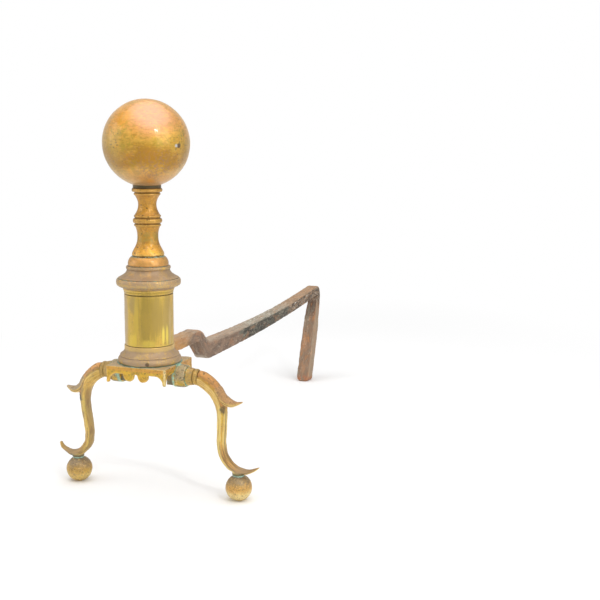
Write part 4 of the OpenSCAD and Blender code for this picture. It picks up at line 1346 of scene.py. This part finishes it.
DRUM_STAINS_AND_SHADE = (
    # azimuth in degrees round from the front to the right, height, how wide, how tall
    (-46, 175, 7.0, 32, (0.58, 0.42, 0.22)),
    # painted shade over the front of the drum, dimming a lamp's highlight there
    (24, 177, 12.0, 30, (0.41, 0.285, 0.05)),
    (-14, 190, 6.0, 9, (0.46, 0.33, 0.11)),
    (-4, 176, 2.6, 22, (0.70, 0.50, 0.08)),
    (-16, 156, 5.5, 8, (0.80, 0.58, 0.08)),
    (24, 154, 7.0, 4, (0.72, 0.53, 0.08)),
    (72, 178, 8.0, 26, (0.54, 0.38, 0.11)),
    (46, 182, 7.0, 20, (0.46, 0.315, 0.07)),
    (61, 161, 1.6, 10, (1.0, 0.80, 0.14)),
    (72, 162, 1.8, 11, (1.0, 0.80, 0.14)),
    (84, 170, 2.4, 22, (0.70, 0.51, 0.20)),
)


def paint_drum(g):
    """Upright stains on the drum: each an ellipse round a place, with a ragged edge.

    The broad one in front is painted shade, which dims a lamp's highlight there.
    """
    radius = drum_radius()
    ragged = (g.noise(3.0, 5, 0.7, vector=upright_streaks(g)) - 0.5) * 1.7
    for azimuth, level, half_w, half_h, shade in DRUM_STAINS_AND_SHADE:
        turn = math.radians(azimuth)
        place = (radius * math.sin(turn), COLUMN_Y - radius * math.cos(turn), level)
        reach = g.distance(place, (1 / half_w, 1 / half_w, 1 / half_h))
        g.lay((reach + ragged).within(1.2, 0.5) * 0.8, shade)
    up = g.axes()[2] - corners("drum")[0][2]
    g.lay(up.within(1.0, 0.2) * 0.8, (0.07, 0.055, 0.03))


def paint_plinth(g):
    """A pale grey-beige top, orange edges, a bright front corner and green leg joints.

    The bright front corner is a painted highlight.
    """
    low, high = corners("plinth")
    x, _, z = g.axes()
    below = high[2] - z
    wander = (g.noise(9, 4, 0.6, 0.4) - 0.5) * 1.2
    g.lay((below + wander).near(2.4, 0.5, 2.8) * 0.6, (0.74, 0.34, 0.09))
    g.lay(g.noise(3.6, 5, 0.76, 0.4).within(0.52, 0.61) * 0.4, (0.27, 0.165, 0.055))
    top = below.within(0.9, 0.15)
    g.lay(top * 0.75, (0.52, 0.43, 0.31))
    # painted highlight down the front right corner
    corner = g.distance((high[0], low[1], 0), (1, 1, 0)).within(2.6, 0.9)
    g.lay(corner * (1 - top) * 0.85, (1.0, 0.80, 0.38))
    pitted = (x - 28).within(0, 2) * g.noise(2.1, 5, 0.74).within(0.5, 0.62)
    g.lay(pitted * 0.7, (0.16, 0.11, 0.06))
    g.dim(top * 0.9, pitted * 0.8)
    for side in ("left", "right"):
        plan = LegPlan(side)
        ring = g.distance(plan.root).near(11.3, 0.2, 1.3)
        g.corrode(ring.most(g.distance(plan.crest).within(6, 2)), 0.9)
    seam = g.distance((0, COLUMN_Y, 0), (1, 1, 0)).near(30.2, 0.3, 1.5) * top
    g.lay(seam * 0.7, (0.07, 0.085, 0.055))
    g.corrode(seam, 0.7)


def paint_leg(side):
    """Stains for one leg: a copper-brown crown, a golden face and green joints.

    Painted highlights run along the front ridge and under the toe and the spur's beak, and a
    painted shade stands where the spur springs from the shank.
    """
    plan = LegPlan(side)
    left = side == "left"
    copper = (0.80, 0.42, 0.17) if left else (0.62, 0.30, 0.11)
    beak_tone = (0.52, 0.42, 0.27) if left else (0.56, 0.33, 0.15)
    gilding, plums, browning = (0.55, 0.6, 0.6) if left else (0.9, 0.14, 1.0)

    def paint(g):
        x, _, z = g.axes()
        drop = plan.root[2] - z
        out = x * plan.hand - abs(plan.root[0])
        crown, flank, spur = (g.attribute(mark) for mark in ("crown", "flank", "spur"))
        skin = out.within(20.5, 21.5)
        wander = (g.noise(6, 5, 0.66) - 0.5) * 0.9
        lines = g.noise(1.0, 4, 0.65, vector=swept_streaks(g, 0.06, 3.2))
        low_down = drop.within(24, 36)
        arch = skin * (1 - low_down)

        face = skin * (crown + wander).within(0.4, 0.05)
        gold = g.mix(lines.within(0.3, 0.55), (0.70, 0.45, 0.11), (1.0, 0.80, 0.29))
        amber = g.mix(lines.within(0.3, 0.58), (0.58, 0.30, 0.07), (1.0, 0.72, 0.24))
        gold = g.mix(low_down, amber, gold)
        g.lay(face * gilding, gold)
        band = arch * (crown + wander).within(0.2, 0.6)
        g.lay(band * 0.85, copper)
        g.lay(band * lines.within(0.5, 0.62) * 0.65, (0.28, 0.165, 0.085))
        g.lay(band * g.noise(2.4, 5, 0.76, 0.4).within(0.54, 0.62) * 0.55, (0.92, 0.44, 0.12))
        verge = arch * (crown + wander * 0.5).near(0.3, 0.02, 0.2)
        g.lay(verge * 0.45, (0.33, 0.19, 0.06))
        pocks = band * g.dots(3.2, 0.18, 0.42) * g.noise(6, 3).within(0.42, 0.5)
        g.lay(pocks * 0.8, (0.13, 0.085, 0.04))
        outer = skin * (crown + wander * 0.6).within(0.3, 0.6) * low_down
        g.lay(outer * 0.75, g.mix(lines.within(0.35, 0.6), (0.62, 0.42, 0.13), gold))
        # painted highlight along the front ridge
        ridge_highlight = skin * crown.near(RIDGE, 0.02, 0.14) * flank.within(-0.6, -0.85)
        g.lay(ridge_highlight * 0.5, (1.0, 0.76, 0.30))
        plum = skin * g.noise(5.5, 5, 0.7, 0.4, swept_streaks(g)).within(0.5, 0.6)
        g.lay(plum * plums * (1 - band * 0.65), (0.30, 0.19, 0.12))
        if left:
            inner = skin * (crown + wander * 0.6).within(-0.2, -0.6) * drop.within(16, 26)
            g.lay(inner * 0.65, (0.38, 0.24, 0.11))
        sweep = skin * (1 - spur) * (drop + wander * 8).within(58, 76)
        sweep = sweep * (crown + wander * 0.4).within(-0.3, 0.1) * browning
        brown = g.mix(lines.within(0.42, 0.6), (0.29, 0.15, 0.07), (0.68, 0.36, 0.12))
        g.lay(sweep * 0.8, brown)
        crease = skin * (crown + wander * 0.08).near(0.88, 0.02, 0.1) * low_down
        g.lay(crease * 0.55, (0.24, 0.16, 0.05))

        toe = drop.within(84, 92) * (1 - spur) * out.within(24, 32)
        toe_top = toe * (crown + wander * 0.7).within(-0.6, 0.0)
        g.lay(toe_top * 0.8, (0.40, 0.28, 0.16))
        # painted highlight along the toe's lower edge
        g.lay(toe * (crown + wander * 0.3).within(-0.45, -0.7) * 0.6, (0.95, 0.70, 0.25))
        beak = spur * out.within(28, 33)
        # painted highlight along the underside of the spur's beak
        g.lay(beak * (crown + wander * 0.3).within(-0.1, -0.5) * 0.8, (1.0, 0.74, 0.28))
        beak_top = beak * (crown + wander * 0.3).within(-0.1, 0.3)
        g.lay(beak_top * 0.8, beak_tone)
        g.lay(beak_top * g.noise(1.9, 5, 0.78, 0.3).within(0.5, 0.58) * 0.6, (0.24, 0.145, 0.07))
        flute = beak * (crown + wander * 0.1).near(-0.3, 0.05, 0.2)
        g.lay(flute * 0.6, (0.24, 0.15, 0.07))
        # painted shade where the spur springs from the shank, standing for a hollow that the cast
        # skin does not have
        spur_joint_shade = (g.distance(plan.root + [plan.hand * 48.5, -5, -30]) + wander * 9).within(7.5, 4.5)
        g.lay(spur_joint_shade * 0.85 * (1 - spur), (0.09, 0.08, 0.045))

        root = 1 - skin
        above = (wander * 9 - drop).within(-7, 1)
        boss = out.within(9.8, 9.0)
        g.lay(boss * above * 0.85, (0.47, 0.405, 0.28))
        rubs = root * g.noise(4.6, 5, 0.74, 0.3).within(0.52, 0.6) * (1.2 - above)
        g.lay(rubs * 0.75, (0.92, 0.62, 0.2))
        g.lay(root * g.noise(3.8, 5, 0.74, 0.5).within(0.53, 0.61) * 0.7, (0.13, 0.10, 0.055))
        g.lay(boss * drop.within(7, 10) * 0.8, (0.17, 0.18, 0.12))
        ring = out.near(16.3, 0.2, 0.75).most(out.near(20.9, 0.1, 0.7) * 0.8)
        g.lay(root * out.within(9.2, 10.0) * (0.35 + above * 0.3), (0.46, 0.32, 0.14))
        g.lay(ring * 0.35, (0.10, 0.09, 0.045))
        g.dull = g.dull * (1 - face * 0.45)
        g.dim(band.most(toe_top).most(boss * above).most(sweep) * 0.7, ring)

        green = out.near(0, 0.1, 1.0).most(out.near(9.8, 0.3, 1.1) * (1 - above * 0.2))
        green = green.most(out.within(8, 0.5) * (0.5 + above * 0.2))
        green = green.most(g.distance(plan.crest).within(6, 2))
        past = drop - plan.fall
        ankle = (past + wander).within(-3.6, -1.6) * out.near(plan.reach, 6.5, 8)
        g.lay(ankle * 0.85, (0.085, 0.095, 0.065))
        g.corrode(green.most(ankle * past.within(-1.2, -0.2) * 0.9))

    return paint


def paint_foot(side):
    """Stains for one foot: brown shoulders, a golden belly and a green seat.

    The golden belly is painted light, as from the bright floor below.
    """
    top = 2 * LegPlan(side).foot_r
    golden = 1.0 if side == "right" else 0.45

    def paint(g):
        z = g.axes()[2]
        wander = (g.noise(6, 6, 0.78, 0.4) - 0.5) * 20
        shoulder = (z + wander).within(8, 22)
        g.lay(shoulder * 0.88, (0.30, 0.23, 0.155))
        g.lay((z + wander).near(14, 0, 8) * 0.5 * golden, (0.80, 0.42, 0.13))
        # pale gold belly: painted light, as the bright floor would throw on it
        belly = (z + wander * 0.6).within(14, 7)
        g.lay(belly * 0.85 * golden, (1.0, 0.82, 0.40))
        g.lay(g.noise(1.9, 5, 0.78, 0.3).within(0.52, 0.6) * 0.5, (0.19, 0.125, 0.06))
        g.lay(g.noise(2.3, 5, 0.78, 0.4).within(0.54, 0.61) * 0.5, (0.98, 0.68, 0.26))
        seat = z.near(top - 0.6, 0.2, 1.3)
        g.lay(seat * 0.7, (0.085, 0.095, 0.065))
        g.dull = g.dull * (1 - belly * 0.5)
        g.dim(shoulder * 0.7)
        g.corrode(seat, 0.9)

    return paint


def paint_moulding(g):
    """The pinkish brown of pieces that the polishing cloth misses."""
    veil = (g.noise(8, 5, 0.7, 0.3) + (g.noise(1.4, 3, 0.7) - 0.5) * 0.6).within(0.2, 0.56)
    g.lay(veil * 0.88, "rose")
    g.dim(veil * 0.75)


def paint_cap(g):
    """The cap under its pinkish veil, with pale green crumbs along the edges of its rim."""
    paint_moulding(g)
    up = g.axes()[2] - corners("drum")[1][2]
    cove = up.within(9.5, 12) * g.noise(6, 5, 0.7).within(0.36, 0.56)
    g.lay(cove * 0.45, (0.36, 0.235, 0.13))
    rim_low = up.near(4.6, 0.8, 1.8) * g.noise(4, 4, 0.7).within(0.45, 0.58)
    g.lay(rim_low * 0.6, (0.70, 0.48, 0.16))
    g.corrode(up.near(3.1, 0.2, 1.0).most(up.near(9.6, 0.2, 1.0)) * 0.75, 0.6)


def paint_base(g):
    """The base moulding's golden collar, worn patch and dark seam on the plinth."""
    paint_moulding(g)
    low, high = corners("base_moulding")
    radius = (high[0] - low[0]) / 2
    up = g.axes()[2] - low[2]
    wander = (g.noise(5, 5, 0.66) - 0.5) * 7
    g.lay((up + wander * 0.3).within(12, 14.5) * 0.6, (0.82, 0.57, 0.18))
    patch = g.distance((0, COLUMN_Y - radius, low[2] + 11)) + wander
    g.lay(patch.within(6, 2) * 0.4, (0.90, 0.64, 0.25))
    mark = g.distance((0.37 * radius, COLUMN_Y - 0.93 * radius, low[2] + 3)) + wander * 0.15
    g.lay(mark.within(2.6, 1.2) * 0.8, (0.09, 0.06, 0.035))
    foot = up.within(1.1, 0.1)
    g.lay(foot * 0.8, (0.06, 0.07, 0.045))
    g.dim(foot)
    g.corrode(foot, 0.7)


def paint_bar(g, drawn):
    """Fire on the bar: gold-brown by the column, pink beyond, black scale, then brown.

    Its top face is laid paler, partly as painted light from above.

    Returns how scaly the iron is and how sooty, each along the bar.
    """
    _, back, up = g.axes()
    back = back - COLUMN_Y
    crown, flank = g.attribute("crown"), g.attribute("flank")
    wander = (g.noise(13, 5, 0.66, 0.5, g.mapped((1, 0.4, 1))) - 0.5) * 110
    reach = back + wander
    on_leg = back.within(440, 460) * (up + crown * 6).within(112, 100)
    top = (crown + wander * 0.003).within(0.6, 0.85) * (1 - on_leg)
    near = reach.within(100, 30)
    rear = reach.within(330, 420)
    pink = reach.within(70, 115) * reach.within(285, 205)
    heel = back.within(96, 106) * back.within(134, 124) * (crown + 0.4).within(1, 0)
    g.lay(pink * 0.7, (0.24, 0.155, 0.105))
    g.lay(pink * g.noise(7, 6, 0.76, 0.4, drawn).within(0.46, 0.58) * 0.55, (0.11, 0.08, 0.06))
    g.lay(near * 0.8, (0.58, 0.30, 0.09))
    g.lay(heel * 0.4, (0.19, 0.13, 0.09))
    g.lay(rear * 0.6, (0.36, 0.245, 0.155))

    g.lay(on_leg * 0.75, (0.235, 0.145, 0.09))
    g.lay(on_leg * (up + wander * 0.25).within(84, 102) * 0.8, (0.11, 0.06, 0.04))
    clouded = g.noise(5, 6, 0.74, 0.4, drawn)
    g.lay(on_leg * clouded.within(0.48, 0.4) * 0.6, (0.25, 0.225, 0.165))
    g.lay(on_leg * clouded.within(0.53, 0.6) * 0.7, (0.50, 0.22, 0.08))
    g.lay(on_leg * flank.within(0.7, 0.95) * 0.6, (0.46, 0.34, 0.23))
    low_end = (up + wander * 0.12).within(11, 3) * clouded.within(0.4, 0.55)
    g.lay(on_leg * low_end * 0.7, (0.50, 0.18, 0.08))

    # the top face is laid paler: partly its own tone, partly painted light from above
    pale = g.mix(near, (0.50, 0.385, 0.28), (0.50, 0.30, 0.14))
    pale = g.mix(rear, pale, (0.50, 0.30, 0.16))
    streaked = g.noise(5, 5, 0.72, 0.3, drawn).within(0.4, 0.6)
    g.lay(top * (0.3 + streaked * 0.4), pale)
    fire = back + wander * 0.4
    fire = fire.within(190, 275) * fire.within(430, 340)
    # grey scale in the fire zone, laid paler on the top face, partly as painted light
    g.lay(fire * top * (0.35 + streaked * 0.45), (0.38, 0.365, 0.29))
    speckled = rear * (1 - on_leg) * (1 - top * 0.7)
    soot = g.noise(3.0, 6, 0.78, 0.4, drawn).within(0.49, 0.55)
    flecks = speckled.most(fire * top) * g.noise(2.6, 5, 0.78, 0.4, drawn).within(0.56, 0.61)
    g.lay(flecks * 0.9, (0.78, 0.74, 0.66))
    scaly = fire * (1 - top * 0.7) * 0.95 + 0.12
    return scaly, (fire * (0.75 - top * 0.4)).most(speckled) * soot


def paint_nut(g):
    """The pale green film on the nuts under the plinth."""
    g.lay(g.noise(5, 4, 0.6).within(0.3, 0.55) * 0.8, (0.20, 0.21, 0.16))
    g.corrode(0.6, 0.8)


# ---- operators ----

class AndironOperator(Operator):
    """What the andiron's operators share."""

    bl_options = {"REGISTER", "UNDO"}

    def execute(self, context):
        self.make()
        return {"FINISHED"}


class ANDIRON_OT_column(AndironOperator):
    """Turned ball, shaft, cap and drum."""

    bl_idname = "andiron.column"
    bl_label = "Column"

    def make(self):
        turning = sizes("turning")
        swell = sizes("casting").cast_waves * 0.5
        # node, outline, step along it, whether it closes, slot and material
        pieces = (
            ("ball", ball_outline, 0.7, False, "ball_brass",
             brass("ball_brass", paint_ball, 0.62, 0.30, level_streaks, sheen=0.8)),
            ("shaft", shaft_outline, 0.32, True, "shaft_brass",
             brass("shaft_brass", paint_shaft, 0.85, 0.3, level_streaks)),
            ("cap", cap_outline, 0.3, True, "moulding_brass",
             brass("cap_brass", paint_cap, 0.55, 0.55, bloom="rose")),
            ("drum", drum_outline, 0.4, True, "drum_brass",
             brass("drum_brass", paint_drum, 0.15, 0.5, upright_streaks)),
        )
        for node, outline, step, closed, slot, material in pieces:
            piece = turned_piece("turned_" + node, outline(turning), step, closed)
            mark_relief(piece, rounds=20)
            weather(piece, swell, size=18, seed=11)
            finish_piece(piece, material, [node])


class ANDIRON_OT_plinth(AndironOperator):
    """Worn cast plinth and the moulding on it."""

    bl_idname = "andiron.plinth"
    bl_label = "Plinth and base moulding"

    def make(self):
        casting = sizes("casting")
        rounds = max(2, int(round(casting.edge_wear * 10)))
        plinth = softened_copy("plinth", "cast_plinth", 0.45, rounds)
        mark_relief(plinth, rounds=14)
        weather(plinth, casting.cast_waves, size=8, seed=21)
        material = brass("plinth_brass", paint_plinth, tarnish=0.32, rough_mm=0.34)
        finish_piece(plinth, material, ["plinth"], CAST_CREASE)
        base = softened_copy("base_moulding", "cast_base_moulding", 0.35, rounds=2)
        mark_relief(base, rounds=16)
        weather(base, casting.cast_waves * 0.5, size=14, seed=22)
        material = brass("base_moulding_brass", paint_base, tarnish=0.5, bloom="rose")
        finish_piece(base, material, ["base_moulding"], CAST_CREASE)


class ANDIRON_OT_legs(AndironOperator):
    """Cast legs with spurs, and their ball feet."""

    bl_idname = "andiron.legs"
    bl_label = "Legs and feet"

    def make(self):
        casting = sizes("casting")
        for side, tarnish in (("left", 0.45), ("right", 0.25)):
            leg = leg_piece(side, casting)
            foot = foot_piece(side, casting)
            finish_piece(leg, brass(
                f"{side}_leg_brass", paint_leg(side), tarnish=tarnish, streaks=swept_streaks,
                rough_mm=0.3,
            ), [f"{side}_leg"], CAST_CREASE)
            finish_piece(foot, brass(
                f"{side}_foot_brass", paint_foot(side), tarnish=tarnish,
            ), [f"{side}_foot"])


class ANDIRON_OT_bar(AndironOperator):
    """Forged billet bar with its step and rear leg."""

    bl_idname = "andiron.bar"
    bl_label = "Billet bar"

    def make(self):
        bar = bar_piece(sizes("casting"))
        finish_piece(bar, iron("bar_iron", paint_bar), ["billet_bar"], CAST_CREASE)


class ANDIRON_OT_fixings(AndironOperator):
    """Rod, washer and nuts, which keep their CAD shape."""

    bl_idname = "andiron.fixings"
    bl_label = "Rod and nuts"

    def make(self):
        dark = iron("rod_iron", scaly=0.7, fresh=0.2)
        green = brass("nut_brass", paint_nut, warmth=0.2, tarnish=0.8)
        for node in ("tie_rod", "rod_nut", "rod_washer"):
            dress(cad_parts[node], dark)
        for node in ("left_leg_nut", "right_leg_nut"):
            dress(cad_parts[node], green)


class ANDIRON_OT_studio(AndironOperator):
    """Floor, lamps, sky and the camera."""

    bl_idname = "andiron.studio"
    bl_label = "Studio"

    def make(self):
        studio = settings("studio")
        lay_floor(studio)
        for name, place, size, power, part in LAMPS:
            lamp(name, place, size, getattr(studio, power) * part)
        light_sky(studio)
        set_camera(studio)
        bpy.context.scene.view_settings.view_transform = "Standard"


# ---- stage ----

WHITE = (1, 1, 1, 1)

LAMP_AIM = (0.0, -0.2, 0.18)
LAMPS = (
    # name, place and width in metres, the setting with its power, and its share of that
    ("top_lamp", (0.1, -0.25, 1.6), 2.3, "top", 1.0),
    ("left_lamp", (-1.5, -0.9, 0.7), 1.2, "side", 0.7),
    ("right_lamp", (1.6, -0.8, 0.7), 1.2, "side", 1.0),
    ("spark_lamp", (0.85, -0.80, 0.98), 0.07, "spark", 1.0),
)

# Where the photograph's camera stood from the column's foot, in millimetres: worked
# out from the object's size and perspective there
CAMERA_PLACE = (426.4, -849.4, 347.4)


def lay_floor(studio):
    """A flat pale floor, which the camera sees fade to white away from the andiron.

    Near the piece the camera sees the lit floor with its shadows; from the fade's near
    edge to its far edge the lit floor gives way to an even white.
    """
    half, fade_near, fade_far = 4000, 150, 620
    line = np.array([[0, -half, 0], [0, half, 0]], dtype=float)
    sides = np.array([-half, half])[None, :, None] * np.array([1, 0, 0])
    floor = Shape().add(line[:, None, :] + sides, close_columns=False).store("floor")
    g = new_material("floor_paint")
    lit = g.node("ShaderNodeBsdfDiffuse", {"Color": (0.96, 0.96, 0.96, 1)})
    plain = g.node("ShaderNodeBsdfDiffuse", {"Color": (*studio.floor, 1)})
    white = g.node("ShaderNodeEmission", {"Color": WHITE})
    fade = g.distance((0, 50, 0), (1, 0.62, 1)).within(fade_near, fade_far)
    seen = g.node("ShaderNodeLightPath").out("Is Camera Ray")
    shown = g.node("ShaderNodeMixShader", [fade, lit, white])
    g.node("ShaderNodeOutputMaterial", [g.node("ShaderNodeMixShader", [seen, plain, shown])])
    dress(floor, g.owner)


def turned(place, side, rise, back):
    """The matrix of an object at a place, with its three axes, in metres."""
    turn = Matrix(np.array([side, rise, back]).T.tolist())
    return Matrix.Translation(place) @ turn.to_4x4()


def lamp(name, place, size, power):
    """A square soft lamp at a place, turned to the andiron; lengths in metres."""
    light = bpy.data.lights.new(name, "AREA")
    light.shape = "SQUARE"
    light.size = size
    light.energy = power
    rig = bpy.data.objects.new(name, light)
    back = unit(np.subtract(place, LAMP_AIM))
    side = unit(np.cross((0, 0, 1), back))
    rig.matrix_world = turned(place, side, np.cross(back, side), back)
    bpy.context.scene.collection.objects.link(rig)


def light_sky(studio):
    """An even sky, seen as white by the camera and a little darker by the metal."""
    bpy.context.scene.world = bpy.data.worlds.new("studio_sky")
    g = Graph(bpy.context.scene.world)
    even = g.node("ShaderNodeBackground", {"Color": WHITE, "Strength": studio.sky})
    white = g.node("ShaderNodeBackground", {"Color": WHITE})
    seen = g.node("ShaderNodeLightPath").out("Is Camera Ray")
    g.node("ShaderNodeOutputWorld", [g.node("ShaderNodeMixShader", [seen, even, white])])


def set_camera(studio):
    """The camera of the photograph."""
    yaw, pitch, roll = studio.yaw, studio.pitch, studio.roll
    ahead = np.array([
        -math.sin(yaw) * math.cos(pitch), math.cos(yaw) * math.cos(pitch), -math.sin(pitch),
    ])
    level = np.array([math.cos(yaw), math.sin(yaw), 0])
    upright = np.cross(level, ahead)
    side = math.cos(roll) * level + math.sin(roll) * upright
    rise = -math.sin(roll) * level + math.cos(roll) * upright
    data = bpy.data.cameras.new("camera")
    data.lens = studio.lens
    data.sensor_width = 36
    data.clip_end = 20
    camera = bpy.data.objects.new("camera", data)
    place = (np.array(CAMERA_PLACE) + [0, COLUMN_Y, 0]) * MM
    camera.matrix_world = turned(place.tolist(), side, rise, -ahead)
    bpy.context.scene.collection.objects.link(camera)
    bpy.context.scene.camera = camera


# ---- panel and registration ----

GROUPS = {
    "turning": AndironTurning,
    "casting": AndironCasting,
    "colours": AndironColours,
    "studio": AndironStudio,
}

OPERATORS = (
    ANDIRON_OT_column,
    ANDIRON_OT_plinth,
    ANDIRON_OT_legs,
    ANDIRON_OT_bar,
    ANDIRON_OT_fixings,
    ANDIRON_OT_studio,
)


class ANDIRON_PT_panel(Panel):
    """The andiron's pieces and settings."""

    bl_idname = "ANDIRON_PT_panel"
    bl_label = "Andiron"
    bl_space_type = "VIEW_3D"
    bl_region_type = "UI"
    bl_category = "Andiron"

    def draw(self, context):
        for operator in OPERATORS:
            self.layout.operator(operator.bl_idname)
        for name in GROUPS:
            box = self.layout.box()
            group = settings(name)
            box.label(text=name.capitalize())
            for key in type(group).__annotations__:
                box.prop(group, key)


def register():
    """Registers the settings, the operators and the panel."""
    for group in GROUPS.values():
        bpy.utils.register_class(group)
    for name, group in GROUPS.items():
        setattr(bpy.types.Scene, "andiron_" + name, PointerProperty(type=group))
    for cls in (*OPERATORS, ANDIRON_PT_panel):
        bpy.utils.register_class(cls)


def unregister():
    """Takes away what register() added."""
    for cls in (ANDIRON_PT_panel, *reversed(OPERATORS)):
        bpy.utils.unregister_class(cls)
    for name in GROUPS:
        delattr(bpy.types.Scene, "andiron_" + name)
    for group in reversed(GROUPS.values()):
        bpy.utils.unregister_class(group)


def main():
    """Builds every piece and the stage."""
    register()
    for operator in OPERATORS:
        group, name = operator.bl_idname.split(".")
        getattr(getattr(bpy.ops, group), name)()


if __name__ == "__main__":
    main()
